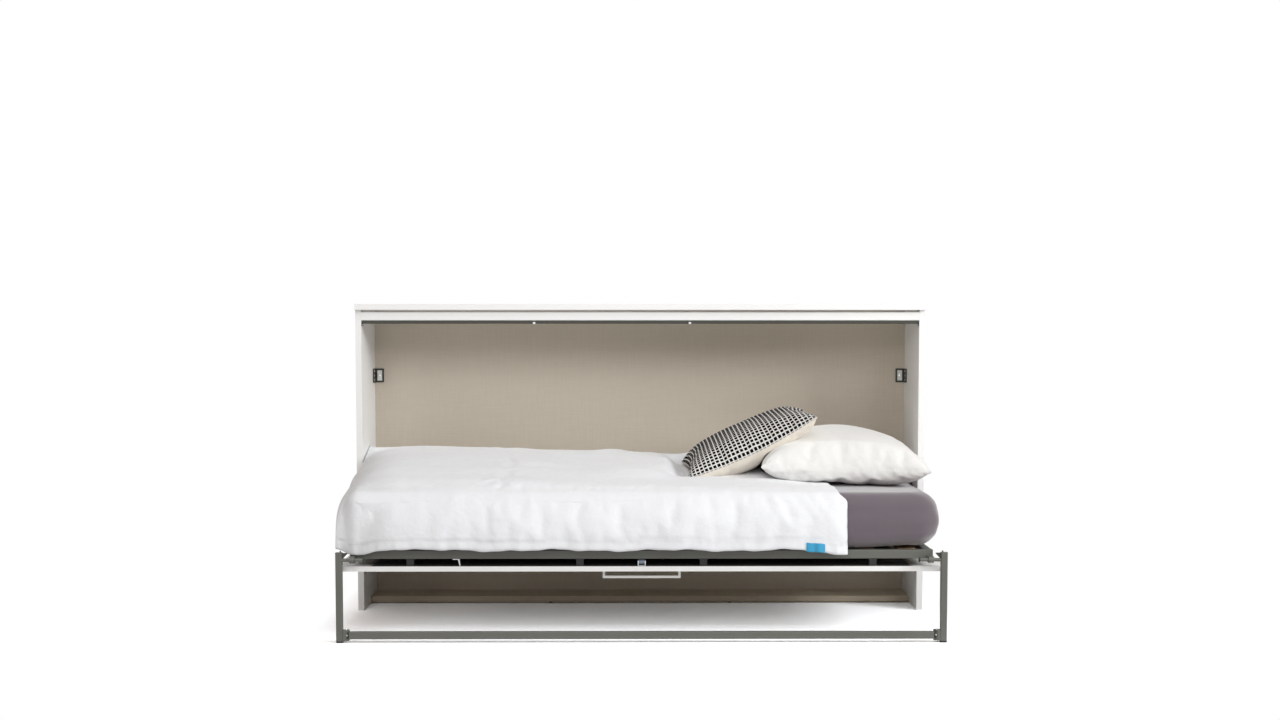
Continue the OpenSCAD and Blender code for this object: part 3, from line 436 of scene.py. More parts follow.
@dataclass(frozen=True)
class BeechVeneer(Finish):
    """Clear-coated beech: grain along the slat, short darker flecks and growth lines."""

    colour: Colour = (0.62, 0.42, 0.24)

    def sockets(self, paint: Paint) -> dict[str, Any]:
        """Grain and growth lines, darker in the flecks, under a clear coat."""
        grain = paint.noise((140.0, 4.0, 140.0), detail=5.0)
        growth = paint.noise((9.0, 0.4, 9.0), detail=2.0)
        fleck = paint.noise((700.0, 60.0, 700.0), detail=2.0).climb(0.55, 7.0)
        body = paint.tones(grain * 0.6 + growth * 0.4, self.colour, 0.78, 1.22)
        return {"Base_Color": paint.mix(fleck * 0.45, body, scaled(self.colour, 0.6)),
                "Roughness": grain.between(0.34, 0.49), "Coat_Weight": 0.3, "Coat_Roughness": 0.2,
                "Normal": paint.bump(grain, depth=0.0001)}


@dataclass(frozen=True)
class PlainCloth(Finish):
    """Plain-woven cotton: crossing threads, faint slubs and a soft sheen.

    Where it has a seam, the seam follows the mesh's own seam attribute.
    """

    thread: float = 1500.0
    depth: float = 0.0002
    mottle: float = 0.03
    sheen: float = 0.25
    crease: float = 0.0
    seam: Colour | None = None

    def sockets(self, paint: Paint) -> dict[str, Any]:
        """Threads as two waves with slubs, then crumpled relief and the seam where there are any."""
        u, v, _ = paint.axes("UV")
        slubs = (paint.noise((self.thread * 0.3, 22.0, 1.0), 2.0, "UV")
                 + paint.noise((22.0, self.thread * 0.3, 1.0), 2.0, "UV"))
        threads = ((u * self.thread).wave() + (v * self.thread).wave()) * 0.12 + 0.5
        weave = threads + (slubs - 1.0) * 0.5
        tone = (weave * 0.4 + paint.noise(16.0, detail=4.0) * 0.6).clipped()
        colour = paint.tones(tone, self.colour, 1 - self.mottle, 1 + self.mottle)
        normal = paint.bump(weave, self.depth)
        if self.crease:
            crush = paint.noise(26.0, detail=5.0)
            drawn = paint.noise((9.0, 30.0, 14.0), detail=4.0)
            normal = paint.bump(crush * 0.5 + drawn * 0.5, self.crease, normal)
        if self.seam is not None:
            stitched = paint.attribute("seam")
            colour = paint.mix(stitched, colour, self.seam)
            normal = paint.bump(1 - stitched, depth=0.0010, below=normal)
        return {"Base_Color": colour, "Roughness": 0.82, "Specular_IOR_Level": 0.2,
                "Sheen_Weight": self.sheen, "Sheen_Roughness": 0.5, "Normal": normal}


@dataclass(frozen=True)
class DashCloth(Finish):
    """Cushion cover: rows of thick dark stitches on pale cloth above, plain pale cloth below."""

    colour: Colour = (0.80, 0.79, 0.765)
    below: Colour = (0.82, 0.765, 0.68)
    dark: Colour = (0.004, 0.004, 0.005)
    across: float = 0.0151
    along: float = 0.0148
    width: float = 0.370
    length: float = 0.345

    def sockets(self, paint: Paint) -> dict[str, Any]:
        """A grid of stitches, each a box round the middle of its cell that drifts and lengthens along v."""
        u, v, _ = paint.axes("UV")
        drift = (paint.noise(30.0, 2.0, "UV") - 0.5) * 0.12
        cross = abs((u / self.across + drift).fraction() - 0.5)
        run = abs((v / self.along + drift).fraction() - 0.5)
        longer = (v / 0.20).clipped() * 0.12
        top = paint.attribute("upper")
        stitch = cross.climb(self.width, -26.0) * run.climb(longer + self.length, -24.0) * top
        yarn = (v * 5200.0).wave().between(0.5, 1.0)
        ground = ((u * 2600.0).wave() + (v * 2600.0).wave()).between(0.5, 0.75)
        plain = paint.mix(top, self.below, self.colour)
        shaded = paint.mix(ground * 0.12, plain, scaled(self.below, 0.75))
        yarns = paint.tones(yarn * 0.5, self.dark, 1.0, 2.6)
        height = stitch * 0.75 + ground * 0.08 + stitch * yarn * 0.12
        crush = paint.noise((40.0, 18.0, 30.0), detail=4.0)
        return {"Base_Color": paint.mix(stitch, shaded, yarns), "Roughness": 0.9,
                "Specular_IOR_Level": 0.05,
                "Normal": paint.bump(crush, depth=0.004, below=paint.bump(height, depth=0.0018))}


class Finishes(Enum):
    """Every finish of the bed, by the record's material slot."""

    WHITE_BOARD = Melamine("white_board")
    GREY_STEEL = PowderCoat("grey_steel", (0.122, 0.123, 0.108))
    DARK_STEEL = PowderCoat("dark_steel", (0.050, 0.048, 0.040))
    ZINC_STEEL = PlatedSteel("zinc_steel")
    BLACK_PLASTIC = Moulding("black_plastic", (0.010, 0.010, 0.010), 0.6)
    WHITE_PLASTIC = Moulding("white_plastic", (0.82, 0.82, 0.80), 0.4)
    WHITE_METAL = Moulding("white_metal", (0.86, 0.86, 0.85), 0.3, 0.00004)
    RUBBER = Moulding("rubber", (0.022, 0.022, 0.022), 0.75)
    SLAT_WOOD = BeechVeneer("slat_wood")
    ROLLER_PLASTIC = Moulding("roller_plastic", (0.20, 0.25, 0.31), 0.35)
    BLACK_METAL = Moulding("black_metal", (0.02, 0.02, 0.022), 0.28, 0.00003)
    ROD_CHROME = PlatedSteel("rod_chrome", (0.80, 0.80, 0.80), 0.08)


# --------------------------------------------------------------------------- surfaces


def eased(t: Array) -> Array:
    """The S curve 3 t squared minus 2 t cubed, kept between 0 and 1."""
    c = np.clip(t, 0.0, 1.0)
    return c * c * (3.0 - 2.0 * c)


def lower_of(a: Array, b: Array, width: float) -> Array:
    """The lower of two heights, rounded: half of their sum minus the hypotenuse of their gap and width."""
    return 0.5 * (a + b - np.hypot(a - b, width))


def upper_of(a: Array, b: Array, width: float) -> Array:
    """The upper of two heights, rounded: half of their sum plus the hypotenuse of their gap and width."""
    return 0.5 * (a + b + np.hypot(a - b, width))


@dataclass(frozen=True)
class Step:
    """An S curve along one coordinate, in metres: base before start, base plus height after the run.

    A negative run climbs towards lower coordinates.
    """

    start: float
    run: float
    height: float = 1.0
    base: float = 0.0

    def at(self, t: Array) -> Array:
        """Its value at a coordinate."""
        return self.base + self.height * eased((t - self.start) / self.run)


@dataclass(frozen=True)
class Hill:
    """A bell along one coordinate: height times e to the minus of (distance over width) squared."""

    middle: float
    width: float
    height: float = 1.0

    def at(self, t: Array) -> Array:
        """Its value at a coordinate."""
        return self.height * np.exp(-((t - self.middle) / self.width) ** 2)


@dataclass(frozen=True)
class Ripples:
    """Smooth seeded unevenness: sines in random directions about one wavelength.

    The sines are added up and divided by the root of their number, so they mostly stay within height.
    """

    length: float
    seed: int
    height: float = 1.0
    count: int = 9

    def at(self, x: Array, y: Array) -> Array:
        """Unevenness at points.

        Args:
            x: First coordinate.
            y: Second coordinate.

        Returns:
            Values around 0.
        """
        draw = np.random.default_rng(self.seed)
        added = np.zeros(np.broadcast(x, y).shape)
        for _ in range(self.count):
            angle, phase = draw.uniform(0, math.tau, 2)
            wave = math.tau / (self.length * draw.uniform(0.65, 1.6))
            added = added + np.sin(wave * (math.cos(angle) * x + math.sin(angle) * y) + phase)
        return added / math.sqrt(self.count) * self.height


def total(parts: tuple[Step | Hill, ...], t: Array, base: Array | float = 0.0) -> Array:
    """A base plus the value of each step or hill at a coordinate."""
    return sum((part.at(t) for part in parts), base)


def lengths(steps: Array) -> Array:
    """Distances from the first point, from the steps between neighbours."""
    return np.concatenate([[0.0], np.cumsum(steps)])


@dataclass
class Skin:
    """A closed skin: rings of points, each a loop of one half there and one half back.

    The grid has shape (rings, points of a ring, 3). Both ends are closed by a ladder of quads between the
    halves of their ring. UVs are lengths in metres round the ring and from ring to ring. What is held
    stays in place while the skin is filled, and marks are numbers at the points for the material.
    """

    name: str
    grid: Array
    held: Array | None = None
    marks: dict[str, Array] = field(default_factory=dict)

    def faces(self) -> Array:
        """Quads of the tube between the rings, and the two ladders that close it."""
        rings, points, _ = self.grid.shape
        here = np.arange(rings * points).reshape(rings, points)
        there = np.roll(here, -1, axis=1)
        tube = np.stack([here[:-1], there[:-1], there[1:], here[1:]], -1).reshape(-1, 4)
        low, high = here[0], here[-1]
        k = np.arange(points // 2 - 1)
        first = np.stack([low[k + 1], low[k], low[points - 1 - k], low[points - 2 - k]], -1)
        last = np.stack([high[k], high[k + 1], high[points - 2 - k], high[points - 1 - k]], -1)
        return np.concatenate([tube, first, last])

    def table(self) -> Array:
        """UV of each point."""
        closed = np.concatenate([self.grid, self.grid[:, :1]], axis=1)
        across = lengths(np.linalg.norm(np.diff(closed, axis=1), axis=2).mean(0))[:-1]
        up = lengths(np.median(np.linalg.norm(np.diff(self.grid, axis=0), axis=2), axis=1))
        return np.stack(np.broadcast_arrays(up[:, None], across[None, :]), -1).reshape(-1, 2)

    def build(self) -> bpy.types.Object:
        """Makes the mesh object, with its UV map, its attributes and outward faces.

        Returns:
            The object.
        """
        points, faces = self.grid.reshape(-1, 3), self.faces()
        mesh = bpy.data.meshes.new(self.name)
        mesh.from_pydata(points, [], faces.tolist())
        corners = np.zeros(len(mesh.loops), np.int32)
        mesh.loops.foreach_get("vertex_index", corners)
        layer = mesh.uv_layers.new(name="cloth")
        layer.data.foreach_set("uv", self.table()[corners].astype(np.float32).ravel())
        for name, values in self.marks.items():
            attribute = mesh.attributes.new(name, "FLOAT", "POINT")
            attribute.data.foreach_set("value", values.astype(np.float32).ravel())
        mesh.polygons.foreach_set("use_smooth", np.ones(len(mesh.polygons), bool))
        mesh.update()
        a, b, c = (points[faces[:, k]] for k in range(3))
        if np.einsum("ij,ij->", a, np.cross(b, c)) < 0:
            mesh.flip_normals()
        piece = bpy.data.objects.new(self.name, mesh)
        bpy.context.scene.collection.objects.link(piece)
        return piece


@dataclass(frozen=True)
class Filling:
    """How the cloth of one skin is filled and let crumple."""

    pressure: float = 4.0
    spare: float = 0.03
    stiffness: float = 12.0
    shear: float = 0.4
    bending: float = 0.4
    mass: float = 0.3
    quality: int = 5
    cap: float = 0.018
    frames: int = 20

    def apply(self, piece: bpy.types.Object, held: Array) -> None:
        """Runs Blender's cloth on the piece, caps how far each point moves, and keeps the result.

        Args:
            piece: The closed skin.
            held: Per vertex, 1 where the skin is held and 0 where it is free.
        """
        group = piece.vertex_groups.new(name="held")
        firm = np.round(held, 2)
        for level in np.unique(firm[firm > 0]):
            group.add(np.flatnonzero(firm == level).tolist(), float(level), "REPLACE")
        rest = read_points(piece.data)
        cloth = piece.modifiers.new("cloth", "CLOTH")
        settings = cloth.settings
        settings.quality = self.quality
        settings.mass = self.mass
        settings.tension_stiffness = settings.compression_stiffness = self.stiffness
        settings.shear_stiffness = self.stiffness * self.shear
        settings.bending_stiffness = self.bending
        settings.use_pressure = True
        settings.uniform_pressure_force = self.pressure
        settings.shrink_min = -self.spare
        settings.vertex_group_mass = group.name
        settings.effector_weights.gravity = 0.0
        for number in range(1, self.frames + 1):
            bpy.context.scene.frame_set(number)
        graph = bpy.context.evaluated_depsgraph_get()
        move = read_points(piece.evaluated_get(graph).data) - rest
        piece.modifiers.remove(cloth)
        length = np.linalg.norm(move, axis=1, keepdims=True)
        move *= np.minimum(1.0, self.cap / np.maximum(length, TINY))
        piece.data.vertices.foreach_set("co", (rest + move).ravel())
        piece.data.update()
        bpy.context.scene.frame_set(1)


def read_points(mesh: bpy.types.Mesh) -> Array:
    """The vertices of a mesh as an array of points."""
    points = np.zeros(len(mesh.vertices) * 3, np.float32)
    mesh.vertices.foreach_get("co", points)
    return points.reshape(-1, 3)


def rounded(piece: bpy.types.Object) -> None:
    """Finishes a piece with a Subdivision Surface, the same in view and render."""
    smoother = piece.modifiers.new("rounded", "SUBSURF")
    smoother.levels = smoother.render_levels = 1
    smoother.uv_smooth = "PRESERVE_BOUNDARIES"


def on_bed(piece: bpy.types.Object, finish: Finish, node: str | None = None) -> None:
    """Gives a piece its finish and slot, puts it on the bed and lets it stand for its CAD node.

    Args:
        piece: The piece.
        finish: What it is made of.
        node: The CAD node that it replaces, or None.
    """
    piece.data.materials.append(finish.material())
    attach(piece, "bed")
    if node is not None:
        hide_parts(node)
    LOG.info("%s: %d points", piece.name, len(piece.data.vertices))


# --------------------------------------------------------------------------- studio


@dataclass
class Viewpoint:
    """The photograph's camera, found from the cabinet's and the legs' edges."""

    place: tuple[float, float, float] = (-0.0412, -6.27815, 1.0465)
    down: float = 0.0679
    turn: float = -0.0061
    focal_px: float = 1734.9
    middle_row: float = 448.0
    image: tuple[int, int] = (1280, 720)

    def build(self) -> None:
        """Creates the camera. The shift is the share of the image's width from its middle row."""
        sensor = 36.0
        lens = bpy.data.cameras.new("camera")
        lens.sensor_width = sensor
        lens.lens = self.focal_px / self.image[0] * sensor
        lens.shift_y = (self.middle_row - self.image[1] / 2) / self.image[0]
        lens.clip_end = 200.0
        camera = bpy.data.objects.new("camera", lens)
        camera.location = self.place
        camera.rotation_euler = (math.pi / 2 - self.down, 0.0, self.turn)
        bpy.context.scene.collection.objects.link(camera)
        bpy.context.scene.camera = camera


@dataclass
class Studio:
    """Pale floor and white surroundings, a broad key lamp from the right and four weaker lamps.

    The warm, weak light of the surroundings fills the shade. To the eye the floor is white a little way
    off the bed and keeps the bed's shadow under it.
    """

    surround: float = 0.20
    warmth: Colour = (1.0, 0.82, 0.68)
    floor_colour: Colour = (0.80, 0.80, 0.80)
    floor_seen: Colour = (1.78, 1.80, 1.84)
    lamp_colour: Colour = (0.965, 0.985, 1.0)
    floor_size: float = 60.0
    side_start: float = 0.02
    side_fade: float = 9.0
    front_start: float = 0.04
    front_fade: float = 7.0
    lamps: tuple[tuple[Any, ...], ...] = (
        ("key", (5.2, -2.7, 3.0), (0.1, -0.1, 0.6), (2.2, 1.8), 193.0),
        ("side", (3.2, -4.4, 3.3), (0.1, -0.1, 0.6), (2.2, 1.8), 50.0),
        ("front", (-1.2, -5.4, 3.4), (0.0, -0.3, 0.4), (3.6, 2.4), 80.0),
        ("left", (-4.6, -3.0, 1.6), (-0.1, -0.1, 0.5), (2.2, 1.8), 17.0),
        ("top", (0.0, -1.8, 4.4), (0.0, -0.1, 0.4), (3.6, 2.0), 49.0))

    def build(self) -> None:
        """Builds the floor, the world and the lamps."""
        scene = bpy.context.scene
        scene.view_settings.view_transform = "Standard"
        scene.world = self.world()
        self.floor()
        for settings in self.lamps:
            self.lamp(*settings)

    def world(self) -> bpy.types.World:
        """White to the eye and in reflections, and a weak warm light otherwise."""
        world = bpy.data.worlds.new("surroundings")
        world.use_nodes = True
        tree = world.node_tree
        tree.nodes.clear()
        output = tree.nodes.new("ShaderNodeOutputWorld")
        mix = tree.nodes.new("ShaderNodeMixShader")
        tree.links.new(self.direct_look(tree), mix.inputs[0])
        for slot, colour, strength in ((1, self.warmth, self.surround), (2, (1.0, 1.0, 1.0), 1.0)):
            light = tree.nodes.new("ShaderNodeBackground")
            light.inputs["Color"].default_value = (*colour, 1.0)
            light.inputs["Strength"].default_value = strength
            tree.links.new(light.outputs[0], mix.inputs[slot])
        tree.links.new(mix.outputs[0], output.inputs["Surface"])
        return world

    @staticmethod
    def direct_look(tree: bpy.types.NodeTree) -> bpy.types.NodeSocket:
        """1 for a ray from the eye or from gloss or glass, 0 for light on the object."""
        path = tree.nodes.new("ShaderNodeLightPath")
        total = path.outputs["Is Camera Ray"]
        for name in ("Is Glossy Ray", "Is Transmission Ray"):
            either = tree.nodes.new("ShaderNodeMath")
            either.operation = "MAXIMUM"
            tree.links.new(total, either.inputs[0])
            tree.links.new(path.outputs[name], either.inputs[1])
            total = either.outputs[0]
        return total

    def floor(self) -> None:
        """A flat floor that keeps the shadow under the bed and is white to the eye away from it."""
        half = self.floor_size / 2
        mesh = bpy.data.meshes.new("floor")
        mesh.from_pydata([(-half, -half, 0), (half, -half, 0), (half, half, 0), (-half, half, 0)], [],
                         [(0, 1, 2, 3)])
        paint = Paint("studio_floor")
        low, high = CAD_BOX
        x, y, _ = paint.axes()
        beside = abs(x).climb(high[0] - self.side_start, self.side_fade)
        before = y.climb(low[1] - self.front_start, -self.front_fade)
        plain, lifted = (paint.node("ShaderNodeBsdfDiffuse", None, {"Color": (*colour, 1.0)})
                         for colour in (self.floor_colour, self.floor_seen))
        white = paint.node("ShaderNodeEmission", None, {"Strength": 1.0})
        seen = paint.blend((beside + before).clipped(), lifted, white)
        paint.surface(paint.blend(Wire(paint, self.direct_look(paint.tree)), plain, seen))
        mesh.materials.append(paint.material)
        floor = bpy.data.objects.new("floor", mesh)
        bpy.context.scene.collection.objects.link(floor)

    def lamp(self, name: str, place: tuple[float, float, float], target: tuple[float, float, float],
             size: tuple[float, float], power: float) -> None:
        """A rectangular lamp turned to a point.

        Args:
            name: The lamp's name.
            place: Where it hangs.
            target: What it points at.
            size: Width and height in metres.
            power: Watts.
        """
        light = bpy.data.lights.new(name, "AREA")
        light.shape = "RECTANGLE"
        light.size, light.size_y = size
        light.energy = power
        light.color = self.lamp_colour
        holder = bpy.data.objects.new(name, light)
        holder.location = place
        away = holder.location - type(holder.location)(target)
        holder.rotation_euler = away.to_track_quat("Z", "Y").to_euler()
        bpy.context.scene.collection.objects.link(holder)


# --------------------------------------------------------------------------- rigid parts


class Dresser:
    """Gives CAD nodes their finishes and makes each material only once."""

    def __init__(self) -> None:
        """Reads each node's material slot from the record."""
        self.slots = {s["node"]: s["material_slot"] for s in frame["record"]["subparts"]}
        self.made: dict[str, bpy.types.Material] = {}

    def material(self, slot: str) -> bpy.types.Material:
        """The material of one slot."""
        if slot not in self.made:
            self.made[slot] = Finishes[slot.upper()].value.material()
        return self.made[slot]

    def dress(self, names: tuple[str, ...], material: bpy.types.Material | None = None) -> None:
        """Puts a material on CAD nodes.

        Args:
            names: The nodes.
            material: The material, or None for that of each node's slot.
        """
        for name in names:
            mesh = NODES[name].data
            mesh.materials.clear()
            mesh.materials.append(material or self.material(self.slots[name]))


@dataclass
class RigidPart:
    """A part of the bed whose CAD nodes get the finishes of their own slots."""

    names: tuple[str, ...]

    def build(self, dresser: Dresser) -> None:
        """Dresses the part's nodes.

        Args:
            dresser: Source of the shared finishes.
        """
        dresser.dress(self.names)
        LOG.info("%s: %d nodes dressed", type(self).__name__, len(self.names))


@dataclass
class Cabinet(RigidPart):
    """The white case with its linen back, steel stiffener and wall brackets."""

    names: tuple[str, ...] = (
        "left_side", "right_side", "top_panel", "fascia", "stiffener", "stiffener_ends", "stiffener_clips",
        "board_feet", "wall_bracket_left", "wall_bracket_right", "wall_pads", "cabinet_screws",
        "side_plate_left", "side_plate_right", "pivot_bushes")
    linen: Colour = (0.61, 0.545, 0.455)
    board: Colour = (0.58, 0.50, 0.385)
    rear: Colour = (0.50, 0.42, 0.33)

    def build(self, dresser: Dresser) -> None:
        """Dresses the case, then the back panel and the bottom board in their foils."""
        super().build(dresser)
        low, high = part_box("back_panel")
        linen = LinenFoil("linen_board", self.linen, self.rear, face_y=(low.y + high.y) / 2)
        board = LinenFoil("beige_board", self.board, self.board, face_y=high.y + FAR)
        dresser.dress(("back_panel",), linen.material())
        dresser.dress(("bottom_board",), board.material())


@dataclass
class BedFrame(RigidPart):
    """The front panel, the steel frame with its slats, and the roller."""

    names: tuple[str, ...] = (
        "front_panel", "panel_spacers", "panel_angle", "handle", "leg_buffers", "front_rail", "rear_rail",
        "end_rail_left", "end_rail_right", "cross_tubes", "corner_fittings", "slats", "slat_holders",
        "hinge_plate_left", "hinge_plate_right", "roller_bracket", "centre_roller")
    bare: float = 0.10
    # How far under the panel's top the painted shade on its inner face begins.
    backing: float = 0.0006

    def build(self, dresser: Dresser) -> None:
        """Dresses the frame, then the front panel, with painted shade on its inner face away from its ends.
        """
        super().build(dresser)
        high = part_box("front_panel")[1]
        # The front panel's inner face gets painted shade, white near its ends.
        panel = ShadePaintedBoard("shade_painted_board", inner_z=high.z - self.backing, reach=high.x - self.bare)
        dresser.dress(("front_panel",), panel.material())


@dataclass
class LegBail(RigidPart):
    """The folding bail of two posts and a crossbar."""

    names: tuple[str, ...] = (
        "post_left", "post_right", "crossbar", "post_caps", "post_gussets", "bar_brackets", "leg_bolts",
        "leg_axles", "axle_caps", "leg_glides")


@dataclass
class GasStruts(RigidPart):
    """The two gas struts beside the bed's ends."""

    names: tuple[str, ...] = (
        "strut_cylinder_left", "strut_cylinder_right", "strut_rod_left", "strut_rod_right")


# --------------------------------------------------------------------------- bedding


@dataclass
class Mattress:
    """The mattress in its fitted sheet: soft edges, full sides and tension folds at the corners.

    Near_end and near_side say where the folds lie, as shares of the half sizes. Lanes is how the folds'
    wave turns per metre along and across the bed and per height. The head end bulges in front of the gas
    strut only, and the sheet's elastic lifts the front right lower corner.
    """

    edge: float = 0.056
    corner: float = 0.060
    least_corner: float = 0.020
    shrink: float = 0.25
    crown: float = 0.007
    crown_run: float = 0.3
    full: float = 0.005
    fold: float = 0.0045
    bulge: float = 0.012
    lift: float = 0.013
    under: tuple[float, ...] = (0.40, 0.30, 0.20, 0.12, 0.07)
    over: tuple[float, ...] = (0.02, 0.05, 0.09, 0.14, 0.20, 0.27, 0.34, 0.40)
    along_n: int = 110
    across_n: int = 52
    corner_n: int = 8
    edge_n: int = 10
    side_n: int = 5
    near_end: Step = Step(0.86, 0.12)
    near_side: Step = Step(0.70, 0.25)
    lanes: tuple[float, float, float] = (60.0, 75.0, 5.0)
    waves: Ripples = Ripples(0.35, 5)
    waves_deep: tuple[float, float] = (1.2, 0.0012)
    bulge_end: Step = Step(-0.14, 0.13)
    bulge_front: Step = Step(0.0, -0.25)
    lift_end: Step = Step(-0.28, 0.24)
    lift_front: Step = Step(0.12, -0.09)
    lift_low: Step = Step(0.60, -0.60)
    colour: Colour = (0.135, 0.111, 0.130)

    def __post_init__(self) -> None:
        """Takes its place from the CAD node."""
        self.low, self.high = (np.array(p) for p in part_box("mattress"))

    def outline(self, inset: Array) -> Array:
        """Rounded rectangles, one for each inset.

        Each corner is a quarter circle whose radius shrinks with the inset, and a straight run follows it.

        Args:
            inset: How far each rectangle lies inside the mattress, in metres.

        Returns:
            Points of shape (insets, points, 2), counter-clockwise.
        """
        size = (self.high - self.low)[:2] / 2
        inset = inset[:, None]
        radius = np.maximum(self.corner - inset * self.shrink, self.least_corner)
        hx, hy = size[0] - inset - radius, size[1] - inset - radius
        quarters = ((1, 1), (-1, 1), (-1, -1), (1, -1))
        parts = []
        for k, (sx, sy) in enumerate(quarters):
            bend = np.linspace(0, math.pi / 2, self.corner_n) + k * math.pi / 2
            parts.append(np.stack([sx * hx + radius * np.cos(bend), sy * hy + radius * np.sin(bend)], -1))
            c, s = math.cos(bend[-1]), math.sin(bend[-1])
            start, stop = (np.stack([ax * hx + radius * c, ay * hy + radius * s], -1)
                           for ax, ay in (quarters[k], quarters[(k + 1) % 4]))
            count = self.across_n if k % 2 else self.along_n
            t = np.linspace(0, 1, count + 2)[1:-1, None]
            parts.append(start * (1 - t) + stop * t)
        return np.concatenate(parts, axis=1) + (self.high + self.low)[:2] / 2

    def profile(self) -> Array:
        """Insets and heights from the underside to the middle of the top.

        They are a quarter round below, a barrel side and a quarter round above, then run inward over the
        low crown.

        Returns:
            Pairs of inset and height.
        """
        brim = self.high[2] - self.low[2] - self.crown
        e, a = self.edge, np.linspace(0, math.pi / 2, self.edge_n)
        t = np.linspace(0, 1, self.side_n + 2)[1:-1]
        under, over = np.array(self.under) + e, np.array(self.over)
        return np.concatenate([
            np.stack([under, 0 * under], -1),
            np.stack([self.full + e - e * np.sin(a), e - e * np.cos(a)], -1),
            np.stack([self.full * (1 - np.sin(math.pi * t)), e + (brim - 2 * e) * t], -1),
            np.stack([self.full + e - e * np.cos(a), brim - e + e * np.sin(a)], -1),
            np.stack([self.full + e + over, brim + self.crown * eased(over / self.crown_run)], -1)])

    def build(self) -> None:
        """Builds and dresses the mattress."""
        profile = self.profile()
        ring = self.outline(profile[:, 0])
        z = np.broadcast_to(profile[:, 1:], ring.shape[:2]) + self.low[2]
        piece = Skin("mattress_cover", self.pulled(np.concatenate([ring, z[..., None]], -1))).build()
        rounded(piece)
        cloth = PlainCloth("mattress_cover", self.colour, 1300.0, depth=0.00025, mottle=0.09, sheen=0.9,
                           crease=0.0022)
        on_bed(piece, cloth, "mattress")

    def pulled(self, grid: Array) -> Array:
        """Sinks shallow tension folds into the sides near the corners and a little waviness elsewhere.

        Args:
            grid: The smooth skin.

        Returns:
            The skin with its folds, its bulge and its lifted corner.
        """
        middle, size = (self.high + self.low) / 2, self.high - self.low
        x, y, z = np.moveaxis(grid, -1, 0)
        away = np.abs(grid - middle) / size * 2
        height = (z - self.low[2]) / size[2]
        arch = np.sin(math.pi * np.clip(height, 0, 1))
        lane = x * self.lanes[0] + y * self.lanes[1] + height * self.lanes[2]
        near = self.near_end.at(away[..., 0]) * self.near_side.at(away[..., 1])
        fold = (np.sin(lane) * 0.5 - 0.5) * self.fold * near * arch
        least, deep = self.waves_deep
        broad = (self.waves.at(x, y + z) - least) * deep
        flat = np.stack([x - middle[0], y - middle[1], 0 * height], -1)
        flat /= np.maximum(np.linalg.norm(flat, axis=-1, keepdims=True), TINY)
        grid = grid + flat * (fold + broad * eased(arch * 2))[..., None]
        from_head, from_front = grid[..., 0] - self.high[0], grid[..., 1] - self.low[1]
        out = self.bulge * self.bulge_end.at(from_head) * self.bulge_front.at(grid[..., 1]) * arch
        up = (self.lift * self.lift_end.at(from_head) * self.lift_front.at(from_front)
              * self.lift_low.at(height))
        return grid + np.stack([out, 0 * height, up], -1)


